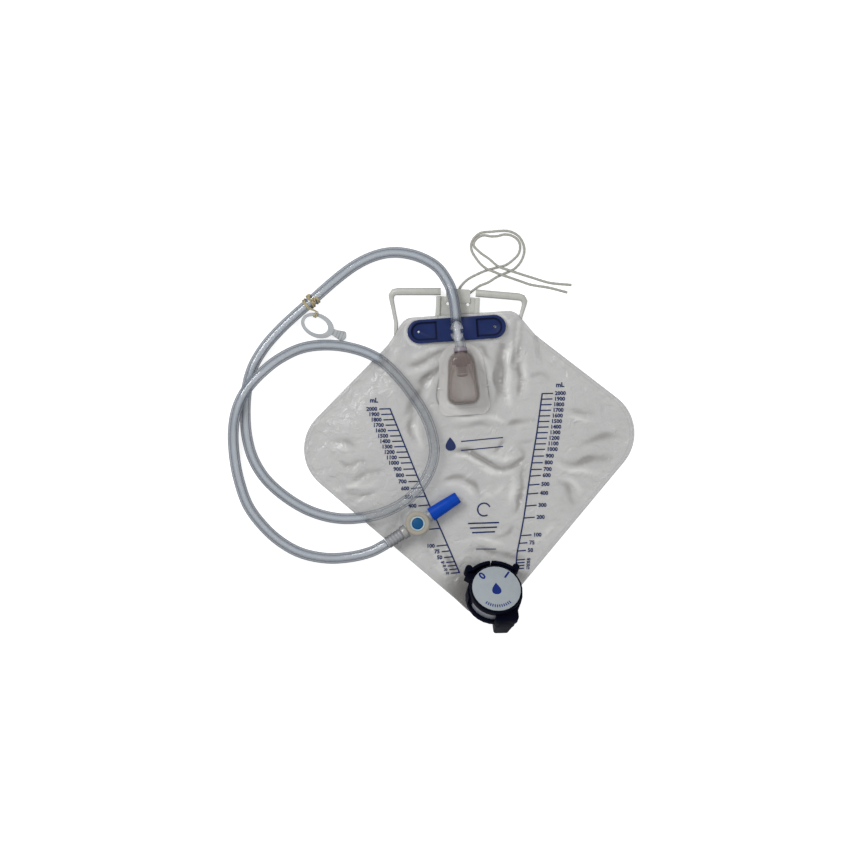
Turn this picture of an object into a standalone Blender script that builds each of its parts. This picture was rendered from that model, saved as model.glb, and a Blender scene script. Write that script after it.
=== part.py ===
"""Urine drainage bag, lying flat with its front up. Metres, +Z up.

The origin is on the underside of the back film. +Y runs along the bag's axis towards the hanger, +X to its right.
Two welded films carry a moulded hanger, a drip chamber with its drain tube, and a rotary outlet valve at the tip.
"""

import math

import bmesh
import bpy
import numpy as np
from mathutils import Matrix, Vector

# Clearances
GAP = 0.0003
RUNNING_GAP = 0.0005

# Films
FILM = 0.0004
FILM_LOW = 0.0034
FILM_HIGH = 0.0052
FILM_STEP_FROM = -0.005
FILM_STEP = 0.050
HANGER_ZONE = 0.071
HANGER_ZONE_RAMP = 0.010
HANGER_ZONE_FROM = 0.085
HANGER_ZONE_RISE = 0.020
WELD_SHARE = 0.03
FILM_CENTRE = (0.0, 0.010)
TOP_CORNER = (0.056, 0.150, 0.014)
SHOULDER = (0.075, 0.124, 0.040)
SIDE_CORNER = (0.1895, 0.0224, 0.046)
TIP_SHOULDER = (0.031, -0.138, 0.020)
TIP_CORNER = (0.016, -0.154, 0.010)
TIP_SWAY = 0.005

# Hanger
HANGER_PLACE = (-0.0005, 0.1677)
HANGER_TURN = -6.5
HANGER_LIFT = FILM + GAP
PLATE_HALF = 0.0224
PLATE_DEPTH = 0.058
PLATE_THICK = 0.0026
RIB_WIDTH = 0.0046
UNDER_FILM_THICK = FILM_HIGH - GAP - HANGER_LIFT
TAB_HALF = 0.0123
TAB_RISE = 0.008
TAB_THICK = 0.0021
TAB_ROOT = 0.006
HANGER_HOLE = 0.0015
HANGER_HOLE_X = 0.0103
HANGER_HOLE_Y = -0.0073
LOOP_HALF = 0.0675
LOOP_DROOP = 0.0022
LOOP_BAR_RADIUS = 0.0038
LOOP_LEG_RADIUS = 0.0024
SNAP_GAP = 0.0008
LEG_FOOT_X = 0.0610
LEG_KNEE_X = 0.0620
LEG_KNEE_Y = -0.029
BACK_BAR_WIDTH = 0.010

# Bar on the front of the hanger
BAR_X = -0.0042
BAR_Y = 0.1349
BAR_LENGTH = 0.1007
BAR_WIDTH = 0.0240
BAR_THICK = 0.0050
BAR_EDGE = 0.0008
POCKET_FLAT_X = 0.0200
POCKET_RADIUS = 0.0094
POCKET_REACH = 0.0467
POCKET_DEPTH = 0.0030
BAR_HOLE_X = 0.0390
BAR_HOLE = 0.0015
WINDOW_HALF = 0.0068
WINDOW_LOW = -0.0130
WINDOW_HIGH = 0.0087
PRONG_REACH = 0.0030
PRONG_HALF = 0.0020
SADDLE_DEPTH = 0.0034

# Drain tube
TUBE_DIAMETER = 0.0111
TUBE_RADIUS = TUBE_DIAMETER / 2
TUBE_POINTS = 72
TUBE_LEAD = 0.004

# Drip chamber
CHAMBER_X = -0.0018
CHAMBER_TOP = 0.1126
CHAMBER_BOTTOM = 0.0580
ARCH_RADIUS = 0.0138
CHAMBER_HALF = 0.01735
CHAMBER_CORNER = 0.0090
CHAMBER_HEIGHT = 0.0218
CHAMBER_WALL = 0.0014
FLANGE_THICK = 0.0015
FLANGE_MARGIN = 0.0092
RIM_MARGIN = 0.0035
RIM_HEIGHT = 0.0014
FLANGE_SKIRT = 0.0017
PLUG_RADIUS = 0.0096
PLUG_LENGTH = 0.0065
PLUG_FIT = 0.93
COLLAR_RADIUS = 0.0068
COLLAR_LENGTH = 0.0034
DROP_RADIUS = 0.0058
DROP_BORE = 0.0042
DROP_LENGTH = 0.0130
DROP_SLOPE = 22.0
DROP_SLOPE_DEPTH = 0.0026
FLAP_THICK = 0.0006
FLAP_MARGIN = 0.0035
INLET_WINDOW = (0.0110, 0.0640, 0.0850)
RIB_THICK = 0.0016
RIBS = ((0.0923, 0.0045), (0.0758, 0.0085))

# Tube end: ferrule, barrel, sampling port, connector and cap on one axis
END_PLACE = (-0.0901, -0.0776)
END_TURN = 29.0
FERRULE_LENGTH = 0.0172
FERRULE_RADIUS = 0.0056
FERRULE_RIB = 0.0006
FERRULE_RIBS = 5
BARREL_LENGTH = 0.0064
BARREL_RADIUS = 0.0070
LUMEN = 0.0030
PORT_AT = 0.0370
PORT_LENGTH = 0.0250
PORT_RADIUS = 0.0052
SEPTUM_RADIUS = 0.0059
SEPTUM_THICK = 0.0030
BOSS_WALL = 0.0012
RING_RADIUS = 0.0126
RING_THICK = 0.0035
SHELF_THICK = 0.0015
SHELF_HEIGHT = 0.0040
SHELF_INSET = 0.0015
CONNECTOR_FLANGE = 0.0062
CONNECTOR_ROOT = 0.0052
CONNECTOR_TIP = 0.0034
CONNECTOR_LENGTH = 0.0290
CONNECTOR_STUB = 0.0030
CAP_RADIUS = 0.00735
CAP_END_RADIUS = 0.0061
CAP_LENGTH = 0.0330
CAP_WALL = 0.0012

# Sheet clip and its rubber band
CLIP_PLACE = (-0.1456, 0.1486)
CLIP_TURN = -27.0
CLIP_LIFT = 0.0036
CLIP_LONG = 0.0173
CLIP_WIDE = 0.0122
CLIP_THICK = 0.0044
CLIP_HOLE_LONG = 0.0128
CLIP_HOLE_WIDE = 0.0083
CLIP_HOLE_BACK = 0.0014
TAB_LENGTH = 0.0150
TAB_NECK = 0.0034
TAB_FAN = 0.0058
BAND_RADIUS = 0.0012
BAND_PITCH = 0.0042
BAND_TURNS = 2
BAND_AT = 14
BAND_ON_CLIP = -0.0060

# Outlet valve, in its own frame: z = 0 on the face of the knob and +z out of it
VALVE_PLACE = (0.0176, -0.1306, 0.0379)
VALVE_LEAN = 29.6
VALVE_LEAN_TOWARDS = 68.0
BASE_RADIUS = 0.0283
KNOB_INSET = 0.0013
KNOB_RADIUS = BASE_RADIUS - KNOB_INSET
KNOB_HEIGHT = 0.0080
KNOB_SKIRT = 0.0014
KNOB_TOP = 0.0032
KNOB_EDGE = 0.0008
KNOB_RIM = 0.0002
FACE_INSET = 0.0020
FACE_RADIUS = KNOB_RADIUS - FACE_INSET
FACE_THICK = 0.0012
HUB_RADIUS = 0.0062
PIN_RADIUS = 0.0019
PIN_HEAD_RADIUS = 0.0040
PIN_HEAD = 0.0013
HUB_END = KNOB_HEIGHT + 0.0020
BARREL_WALL = 0.0028
BARREL_PORT = 0.0020
BARREL_PORT_DEPTH = 0.0225
BARREL_PORT_TURN = 60.0
BASE_WALL = 0.0026
BASE_DEPTH = 0.0260
BASE_FLOOR = 0.0030
BASE_EDGE = 0.0010
WINDOW_FROM = 192.0
WINDOW_TO = 266.0
WINDOW_DEPTH = 0.0195
LUG_SWEEP = 7.0
LUG_CLEARANCE = 0.5
SHROUD_CLEARANCE = 0.0027
SHROUD_WALL = 0.0033
SHROUD_INNER = BASE_RADIUS + SHROUD_CLEARANCE
SHROUD_OUTER = SHROUD_INNER + SHROUD_WALL
SHROUD_TOP = 0.0050
SHROUD_FLOOR = 0.0200
SHROUD_WEB = 0.0030
WEB_STEP = 0.0005
SHROUD_HALF = 42.0
SHROUD_SLOT = 1.6
EAR_RADIUS = 0.0038
EAR_REACH = 0.0020
WING_OUTER = SHROUD_OUTER + 0.0004
WING_TO = 146.0
WING_TOP = 0.0100
SPOUT_INSET = 0.0082
SPOUT_X = 0.0092
SPOUT_Y = SPOUT_INSET - BASE_RADIUS
SPOUT_ROOT = 0.0106
SPOUT_TIP = 0.0078
SPOUT_CORNER = 0.0032
SPOUT_BORE = 0.0046
SPOUT_WAY = 0.0028
SPOUT_END = 0.0465
BLOCK_HALF = 0.0125
BLOCK_REACH = 0.0032
BLOCK_OUTER = -BASE_RADIUS - BLOCK_REACH
BLOCK_TOP = 0.0100
BLOCK_LOW = 0.0185
BLOCK_CORNER = 0.0040
SEAL_RADIUS = 0.0009
NECK_PLACE = (0.0140, -0.1330)
NECK_RADIUS = 0.0065
NECK_TOP = 0.018
NECK_BORE = 0.0040
NECK_FLANGE = 0.0120
NECK_FLANGE_THICK = 0.0015
VALVE_DIP = 0.050
VALVE_DIP_RAMP = 0.040

# Tie string
STRING_DIAMETER = 0.0022
STRING_POINTS = 38

# The drain tube's route, from the drip chamber to the ferrule
TUBE_ROUTE = [
    (-0.0034, 0.1290, 0.0160), (-0.0042, 0.1370, 0.0143), (-0.0042, 0.1470, 0.0138),
    (-0.0046, 0.1580, 0.0132), (-0.0060, 0.1700, 0.0120), (-0.0090, 0.1815, 0.0100), (-0.0185, 0.1980, 0.0070),
    (-0.0330, 0.2090, 0.0057), (-0.0500, 0.2155, 0.0056), (-0.0670, 0.2175, 0.0056), (-0.0850, 0.2145, 0.0056),
    (-0.1030, 0.2070, 0.0056), (-0.1190, 0.1970, 0.0062), (-0.1340, 0.1860, 0.0080), (-0.1500, 0.1735, 0.0088),
    (-0.1680, 0.1600, 0.0078), (-0.1850, 0.1460, 0.0061), (-0.2010, 0.1300, 0.0056), (-0.2140, 0.1110, 0.0056),
    (-0.2215, 0.0900, 0.0056), (-0.2250, 0.0660, 0.0056), (-0.2250, 0.0410, 0.0056), (-0.2200, 0.0170, 0.0056),
    (-0.2080, -0.0050, 0.0056), (-0.1880, -0.0250, 0.0056), (-0.1650, -0.0400, 0.0057), (-0.1400, -0.0485, 0.0066),
    (-0.1150, -0.0500, 0.0084), (-0.0910, -0.0460, 0.0101), (-0.0690, -0.0365, 0.0106), (-0.0520, -0.0225, 0.0108),
    (-0.0410, -0.0060, 0.0110), (-0.0355, 0.0120, 0.0114), (-0.0370, 0.0320, 0.0120), (-0.0435, 0.0520, 0.0120),
    (-0.0550, 0.0730, 0.0120), (-0.0690, 0.0930, 0.0118), (-0.0860, 0.1105, 0.0092), (-0.1080, 0.1218, 0.0062),
    (-0.1340, 0.1277, 0.0060), (-0.1610, 0.1270, 0.0082), (-0.1850, 0.1180, 0.0128), (-0.2055, 0.1040, 0.0168),
    (-0.2220, 0.0880, 0.0175), (-0.2330, 0.0690, 0.0160), (-0.2385, 0.0460, 0.0100), (-0.2390, 0.0200, 0.0060),
    (-0.2360, -0.0040, 0.0056), (-0.2290, -0.0290, 0.0056), (-0.2160, -0.0500, 0.0056), (-0.1990, -0.0680, 0.0056),
    (-0.1780, -0.0815, 0.0056), (-0.1530, -0.0885, 0.0060), (-0.1290, -0.0890, 0.0078), (-0.1080, -0.0855, 0.0104),
]

# The two strands of the tie string, from under the hanger's tab to their free ends
STRING_INNER_ROUTE = [
    (0.0020, 0.1726, 0.0011), (0.0045, 0.1785, 0.0011), (0.0115, 0.1850, 0.0011), (0.0214, 0.1897, 0.0011),
    (0.0303, 0.1927, 0.0011), (0.0406, 0.1948, 0.0011), (0.0502, 0.1967, 0.0011), (0.0581, 0.2015, 0.0011),
    (0.0640, 0.2072, 0.0011), (0.0661, 0.2142, 0.0011), (0.0652, 0.2195, 0.0011), (0.0620, 0.2238, 0.0011),
    (0.0570, 0.2265, 0.0011), (0.0507, 0.2275, 0.0011), (0.0440, 0.2268, 0.0011), (0.0378, 0.2266, 0.0011),
    (0.0295, 0.2275, 0.0011), (0.0240, 0.2255, 0.0013), (0.0212, 0.2205, 0.0020), (0.0266, 0.2115, 0.0034),
    (0.0337, 0.2042, 0.0041), (0.0423, 0.1960, 0.0042), (0.0539, 0.1909, 0.0042), (0.0662, 0.1859, 0.0032),
    (0.0771, 0.1817, 0.0016), (0.0877, 0.1775, 0.0011), (0.0969, 0.1748, 0.0011), (0.1158, 0.1718, 0.0011),
]
STRING_OUTER_ROUTE = [
    (0.0060, 0.1704, 0.0011), (0.0130, 0.1716, 0.0011), (0.0165, 0.1750, 0.0011), (0.0220, 0.1772, 0.0011),
    (0.0310, 0.1803, 0.0011), (0.0400, 0.1850, 0.0011), (0.0479, 0.1879, 0.0011), (0.0557, 0.1908, 0.0011),
    (0.0612, 0.1941, 0.0011), (0.0660, 0.1994, 0.0011), (0.0693, 0.2060, 0.0011), (0.0703, 0.2119, 0.0011),
    (0.0692, 0.2181, 0.0011), (0.0658, 0.2246, 0.0011), (0.0605, 0.2290, 0.0011), (0.0540, 0.2314, 0.0011),
    (0.0467, 0.2319, 0.0011), (0.0382, 0.2317, 0.0011), (0.0300, 0.2317, 0.0011), (0.0245, 0.2300, 0.0011),
    (0.0190, 0.2252, 0.0011), (0.0164, 0.2190, 0.0014), (0.0168, 0.2130, 0.0024), (0.0200, 0.2065, 0.0036),
    (0.0247, 0.1995, 0.0042), (0.0308, 0.1940, 0.0042), (0.0370, 0.1910, 0.0042), (0.0452, 0.1871, 0.0042),
    (0.0551, 0.1830, 0.0036), (0.0650, 0.1788, 0.0020), (0.0749, 0.1748, 0.0011), (0.0915, 0.1709, 0.0011),
    (0.1015, 0.1677, 0.0011), (0.1110, 0.1644, 0.0011),
]

# Heights that follow from the sizes above
FILM_TOP = FILM_HIGH + FILM
BAR_BASE = FILM_TOP + GAP
FLANGE_BASE = FILM_TOP + GAP
CHAMBER_BASE = FLANGE_BASE + FLANGE_THICK + GAP
INLET_Z = CHAMBER_BASE + PLUG_RADIUS + GAP
TUBE_AT_BAR_Z = BAR_BASE + BAR_THICK - SADDLE_DEPTH + GAP + TUBE_RADIUS
END_Z = FILM_LOW + FILM + GAP + CAP_RADIUS

for old in list(bpy.data.objects):
    bpy.data.objects.remove(old, do_unlink=True)

bag = bpy.data.collections.new("urine_drainage_bag")
cutters = bpy.data.collections.new("cutters")
bpy.context.scene.collection.children.link(bag)
bpy.context.scene.collection.children.link(cutters)


def material(name, colour, roughness, alpha=1.0):
    """A plastic with this colour. Clear ones have an alpha under 1."""
    made = bpy.data.materials.new(name)
    made.use_nodes = True
    shader = made.node_tree.nodes["Principled BSDF"]
    shader.inputs["Base Color"].default_value = (*colour, 1.0)
    shader.inputs["Roughness"].default_value = roughness
    shader.inputs["Metallic"].default_value = 0.0
    shader.inputs["Alpha"].default_value = alpha
    return made


BACK_FILM = material("back_film", (0.52, 0.51, 0.50), 0.45)
CLEAR_FILM = material("clear_film", (0.60, 0.60, 0.60), 0.25, 0.45)
NATURAL = material("natural_plastic", (0.56, 0.56, 0.52), 0.45)
NAVY = material("navy_plastic", (0.020, 0.037, 0.160), 0.40)
BLACK_NAVY = material("black_navy_plastic", (0.006, 0.007, 0.022), 0.35)
CLEAR = material("clear_plastic", (0.40, 0.36, 0.35), 0.15, 0.45)
SMOKE = material("smoke_plastic", (0.11, 0.09, 0.11), 0.25)
VINYL = material("clear_vinyl", (0.30, 0.34, 0.40), 0.20, 0.55)
STRING = material("string", (0.35, 0.35, 0.32), 0.80)
BAND_RUBBER = material("band_rubber", (0.48, 0.42, 0.28), 0.65)
CLIP_GREY = material("clip_plastic", (0.40, 0.41, 0.42), 0.40)
GREY = material("grey_plastic", (0.24, 0.25, 0.27), 0.35)
BEIGE = material("beige_plastic", (0.67, 0.62, 0.52), 0.45)
SEPTUM_BLUE = material("septum_rubber", (0.012, 0.15, 0.38), 0.60)
CAP_BLUE = material("cap_plastic", (0.010, 0.080, 0.55), 0.35)
SEAL_RUBBER = material("seal_rubber", (0.02, 0.02, 0.02), 0.80)
FACE_GREY = material("face_plastic", (0.52, 0.53, 0.50), 0.45)


def frame(name, place, turn=0.0, lean=None):
    """An empty that carries the pieces of one sub-assembly. `lean` is (degrees, degrees round from +X)."""
    empty = bpy.data.objects.new(name, None)
    bag.objects.link(empty)
    matrix = Matrix.Translation(Vector(place)) @ Matrix.Rotation(math.radians(turn), 4, "Z")
    if lean:
        angle, towards = (math.radians(value) for value in lean)
        axis = Vector((-math.sin(towards), math.cos(towards), 0.0))
        matrix = matrix @ Matrix.Rotation(angle, 4, axis)
    empty.matrix_world = matrix
    return empty


def add(name, mesh, shade, parent=None, cutter=False):
    """A named object from this mesh. A cutter or a shape to be joined is hidden from the render."""
    made = bpy.data.objects.new(name, mesh)
    (cutters if cutter else bag).objects.link(made)
    if cutter:
        made.hide_render = True
        made.display_type = "WIRE"
    else:
        mesh.materials.append(shade)
    made.parent = parent
    return made


def smooth(obj, degrees=35.0):
    obj.data.shade_smooth()
    obj.data.set_sharp_from_angle(angle=math.radians(degrees))


def boolean(obj, other, operation):
    step = obj.modifiers.new(other.name, "BOOLEAN")
    step.object = other
    step.operation = operation
    step.solver = "EXACT"


def cut(obj, *others):
    for other in others:
        boolean(obj, other, "DIFFERENCE")


def join(obj, *others):
    for other in others:
        boolean(obj, other, "UNION")


def prism(outline, low, high, foot=1.0, centre=(0.0, 0.0)):
    """A mesh of this flat outline between two heights. At the lower one it is scaled about a centre."""
    shape = bmesh.new()
    face = shape.faces.new([shape.verts.new((x, y, high)) for x, y in outline])
    side = bmesh.ops.extrude_face_region(shape, geom=[face])
    for vert in (item for item in side["geom"] if isinstance(item, bmesh.types.BMVert)):
        place = Vector(centre) + (vert.co.xy - Vector(centre)) * foot
        vert.co = (*place, low)
    bmesh.ops.recalc_face_normals(shape, faces=shape.faces)
    mesh = bpy.data.meshes.new("prism")
    shape.to_mesh(mesh)
    shape.free()
    return mesh


def box(centre, size):
    shape = bmesh.new()
    bmesh.ops.create_cube(shape, size=1.0, matrix=Matrix.Translation(centre) @ Matrix.Diagonal((*size, 1.0)))
    mesh = bpy.data.meshes.new("box")
    shape.to_mesh(mesh)
    shape.free()
    return mesh


def cylinder(start, end, radius, end_radius=None, sides=24):
    """A round rod or cone between two points."""
    start, end = Vector(start), Vector(end)
    run = end - start
    turn = run.to_track_quat("Z", "Y").to_matrix().to_4x4()
    shape = bmesh.new()
    bmesh.ops.create_cone(
        shape, cap_ends=True, segments=sides, depth=run.length, radius1=radius,
        radius2=radius if end_radius is None else end_radius,
        matrix=Matrix.Translation((start + end) / 2) @ turn,
    )
    mesh = bpy.data.meshes.new("cylinder")
    shape.to_mesh(mesh)
    shape.free()
    return mesh


def turned(name, profile, shade, parent=None, closed=True, steps=32, cutter=False):
    """A profile of (radius, height) points turned about Z, given down its outer side. A closed one leaves a bore."""
    mesh = bpy.data.meshes.new(name)
    ends = len(profile)
    edges = [(i, i + 1) for i in range(ends - 1)] + ([(ends - 1, 0)] if closed else [])
    mesh.from_pydata([(radius, 0.0, height) for radius, height in profile], edges, [])
    made = add(name, mesh, shade, parent, cutter)
    screw = made.modifiers.new("turn", "SCREW")
    screw.steps = steps
    screw.render_steps = steps
    screw.use_merge_vertices = True
    screw.merge_threshold = 0.000001
    screw.use_smooth_shade = True
    return made


def rounded(corners, step=18.0):
    """An outline with each (x, y, radius) corner turned into an arc, one point to every `step` degrees."""
    points = []
    for i, (x, y, radius) in enumerate(corners):
        corner = Vector((x, y))
        back = (Vector(corners[i - 1][:2]) - corner).normalized()
        ahead = (Vector(corners[(i + 1) % len(corners)][:2]) - corner).normalized()
        inner = back.angle(ahead)
        reach = radius / math.tan(inner / 2)
        centre = corner + (back + ahead).normalized() * (radius / math.sin(inner / 2))
        start = corner + back * reach - centre
        sweep = math.copysign(math.pi - inner, back.x * ahead.y - back.y * ahead.x) * -1
        count = max(1, round(math.degrees(math.pi - inner) / step))
        for k in range(count + 1):
            points.append(tuple(centre + Matrix.Rotation(sweep * k / count, 2) @ start))
    return points


def ellipse(x, y, half_x, half_y, count):
    angles = [2 * math.pi * k / count for k in range(count)]
    return [(x + half_x * math.cos(a), y + half_y * math.sin(a)) for a in angles]


def sector(inner, outer, start, end, step=8.0):
    """The outline of part of a ring, in degrees round from +X."""
    count = max(1, round((end - start) / step))
    angles = [math.radians(start + (end - start) * k / count) for k in range(count + 1)]
    out = [(outer * math.cos(a), outer * math.sin(a)) for a in angles]
    return out + [(inner * math.cos(a), inner * math.sin(a)) for a in reversed(angles)]


def smooth_route(route, count, radius):
    """Evenly spaced points on the Catmull-Rom curve through the route, none so low that the cord would sink."""
    knots = np.array([2 * np.array(route[0]) - route[1], *route, 2 * np.array(route[-1]) - route[-2]])
    dense = []
    for a, b, c, d in zip(knots, knots[1:], knots[2:], knots[3:]):
        for t in np.arange(0.0, 1.0, 0.05):
            dense.append(0.5 * (2 * b + (c - a) * t + (2 * a - 5 * b + 4 * c - d) * t**2 + (3 * b - a - 3 * c + d) * t**3))
    dense = np.array([*dense, knots[-2]])
    run = np.concatenate([[0.0], np.cumsum(np.linalg.norm(np.diff(dense, axis=0), axis=1))])
    at = np.linspace(0.0, run[-1], count)
    points = np.stack([np.interp(at, run, dense[:, i]) for i in range(3)], axis=1)
    points[:, 2] = np.maximum(points[:, 2], radius + GAP / 2)
    return points


def rod(name, points, radius, shade, parent=None, resolution=2, radii=None, cutter=False):
    """A round rod through these points, as a mesh with its caps welded. `radii` scales the radius at each point."""
    curve = bpy.data.curves.new(name, "CURVE")
    curve.dimensions = "3D"
    curve.bevel_depth = radius
    curve.bevel_resolution = resolution
    curve.use_fill_caps = True
    line = curve.splines.new("POLY")
    line.points.add(len(points) - 1)
    for i, (point, place) in enumerate(zip(line.points, points)):
        point.co = (*place, 1.0)
        point.radius = 1.0 if radii is None else radii[i]
    guide = bpy.data.objects.new(name + "_curve", curve)
    bag.objects.link(guide)
    bpy.context.view_layer.update()
    mesh = bpy.data.meshes.new_from_object(guide.evaluated_get(bpy.context.evaluated_depsgraph_get()))
    bpy.data.objects.remove(guide, do_unlink=True)
    shape = bmesh.new()
    shape.from_mesh(mesh)
    bmesh.ops.remove_doubles(shape, verts=shape.verts, dist=0.000001)
    bmesh.ops.recalc_face_normals(shape, faces=shape.faces)
    shape.to_mesh(mesh)
    shape.free()
    made = add(name, mesh, shade, parent, cutter)
    smooth(made)
    return made


def ease(value):
    """0 to 1 with level ends."""
    value = min(max(value, 0.0), 1.0)
    return value * value * (3 - 2 * value)


def film_outline():
    """The welded edge of the bag: a kite with round sides and a blunt tip that sways to the right."""
    half = [TOP_CORNER, SHOULDER, SIDE_CORNER, TIP_SHOULDER, TIP_CORNER]
    sway = [0.0, 0.0, 0.0, TIP_SWAY, TIP_SWAY]
    right = [(x + s, y, r) for (x, y, r), s in zip(half, sway)]
    left = [(-x + s, y, r) for (x, y, r), s in zip(half, sway)]
    corners = right + left[::-1]
    outline = rounded(corners, 14.0)
    longest = (SIDE_CORNER[0] - SHOULDER[0]) / 4
    points = []
    for (x0, y0), (x1, y1) in zip(outline, outline[1:] + outline[:1]):
        pieces = max(1, round(math.dist((x0, y0), (x1, y1)) / longest))
        points += [(x0 + (x1 - x0) * k / pieces, y0 + (y1 - y0) * k / pieces) for k in range(pieces)]
    return points


def film_height(x, y, share):
    """Underside of the front film. `share` is 1 at the welded edge and 0 in the middle of the bag."""
    rise = FILM_LOW + (FILM_HIGH - FILM_LOW) * ease((y - FILM_STEP_FROM) / FILM_STEP)
    inside = ease((1 - WELD_SHARE - share) / 0.25)
    over_hanger = ease((y - HANGER_ZONE_FROM) / HANGER_ZONE_RISE) * (1 - ease((abs(x) - HANGER_ZONE) / HANGER_ZONE_RAMP))
    lifted = 1 - (1 - inside) * (1 - over_hanger)
    from_valve = math.dist((x, y), NECK_PLACE)
    flat = ease((from_valve - VALVE_DIP) / VALVE_DIP_RAMP)
    weld = FILM + GAP
    return weld + (rise - weld) * lifted * flat


def films():
    outline = film_outline()
    add("back_film", prism(outline, 0.0, FILM), BACK_FILM)
    shape = bmesh.new()
    shares = [1.0, 1 - WELD_SHARE, 0.74, 0.44]
    rings = []
    for share in shares:
        ring = []
        for x0, y0 in outline:
            x = FILM_CENTRE[0] + share * (x0 - FILM_CENTRE[0])
            y = FILM_CENTRE[1] + share * (y0 - FILM_CENTRE[1])
            ring.append(shape.verts.new((x, y, film_height(x, y, share))))
        rings.append(ring)
    middle = shape.verts.new((*FILM_CENTRE, film_height(*FILM_CENTRE, 0.0)))
    for outer, inner in zip(rings, rings[1:]):
        for k in range(len(outline)):
            n = (k + 1) % len(outline)
            shape.faces.new((outer[k], inner[k], inner[n], outer[n]))
    for k in range(len(outline)):
        shape.faces.new((rings[-1][k], middle, rings[-1][(k + 1) % len(outline)]))
    for face in shape.faces:
        face.normal_update()
    if middle.link_faces[0].normal.z < 0:
        bmesh.ops.reverse_faces(shape, faces=shape.faces)
    mesh = bpy.data.meshes.new("front_film")
    shape.to_mesh(mesh)
    shape.free()
    front = add("front_film", mesh, CLEAR_FILM)
    wall = front.modifiers.new("film", "SOLIDIFY")
    wall.thickness = FILM
    wall.offset = 1.0
    half, low, high = INLET_WINDOW
    window = rounded([(CHAMBER_X + a * half, y, 0.004) for a, y in ((-1, low), (1, low), (1, high), (-1, high))], 30.0)
    cut(front, add("film_inlet_window", prism(window, FILM_LOW, FILM_TOP + FILM), None, cutter=True))
    drain = cylinder((*NECK_PLACE, 0.0), (*NECK_PLACE, 0.01), NECK_BORE, sides=16)
    holes = add("film_drain_hole", drain, None, cutter=True)
    holes.location.z = FILM + GAP / 2
    cut(front, holes)


def hanger():
    """One moulding: a ribbed centre plate with a tab, two loops with a snap mouth each, and a back bar."""
    home = frame("hanger_frame", (*HANGER_PLACE, HANGER_LIFT), HANGER_TURN)
    plate = rounded(
        [(PLATE_HALF, 0.0, 0.0010), (PLATE_HALF, -PLATE_DEPTH, 0.0030),
         (-PLATE_HALF, -PLATE_DEPTH, 0.0030), (-PLATE_HALF, 0.0, 0.0010)], 45.0)
    body = add("hanger", prism(plate, 0.0, PLATE_THICK), NATURAL, home)
    parts = []
    foot = (LEG_FOOT_X, -PLATE_DEPTH + BACK_BAR_WIDTH / 2)
    bar_size = (2 * foot[0], BACK_BAR_WIDTH, PLATE_THICK)
    parts.append(("back_bar", box((0.0, foot[1], PLATE_THICK / 2), bar_size)))
    tab = rounded(
        [(TAB_HALF, TAB_RISE, 0.0015), (TAB_HALF, -TAB_ROOT, 0.0010),
         (-TAB_HALF, -TAB_ROOT, 0.0010), (-TAB_HALF, TAB_RISE, 0.0015)], 45.0)
    parts.append(("tab", prism(tab, UNDER_FILM_THICK - TAB_THICK, UNDER_FILM_THICK)))
    bar_y = SNAP_GAP + LOOP_BAR_RADIUS
    for side in (-1, 1):
        rib_x = side * (PLATE_HALF - RIB_WIDTH / 2)
        rib = box((rib_x, -PLATE_DEPTH / 2, UNDER_FILM_THICK / 2), (RIB_WIDTH - 0.0004, PLATE_DEPTH - 0.0008, UNDER_FILM_THICK))
        parts.append((f"rib_{side}", rib))
        thick, thin, leg = LOOP_BAR_RADIUS, UNDER_FILM_THICK / 2, LOOP_LEG_RADIUS
        inner = PLATE_HALF - RIB_WIDTH
        route = [
            (inner, bar_y, thick), (LOOP_HALF - 0.006, bar_y - LOOP_DROOP * 0.85, thick),
            (LOOP_HALF - 0.002, bar_y - LOOP_DROOP - 0.0006, thick * 0.95),
            (LOOP_HALF + 0.0005, bar_y - LOOP_DROOP - 0.0042, thick * 0.82),
            (LOOP_HALF, bar_y - LOOP_DROOP - 0.0085, leg), (LEG_KNEE_X + 0.0035, -0.0140, thin),
            (LEG_KNEE_X, LEG_KNEE_Y, thin), (foot[0], foot[1], thin),
        ]
        points = [(side * x, y, radius) for x, y, radius in route]
        radii = [radius / LOOP_BAR_RADIUS for _, _, radius in route]
        loop = rod(f"hanger_loop_{side}", points, LOOP_BAR_RADIUS, None, home, 2, radii, cutter=True)
        join(body, loop)
    for name, mesh in parts:
        join(body, add("hanger_" + name, mesh, None, home, cutter=True))
    for side in (-1, 1):
        x = side * HANGER_HOLE_X
        drill = cylinder((x, HANGER_HOLE_Y, -0.001), (x, HANGER_HOLE_Y, 0.010), HANGER_HOLE, sides=12)
        cut(body, add(f"hanger_hole_{side}", drill, None, home, cutter=True))


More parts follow.
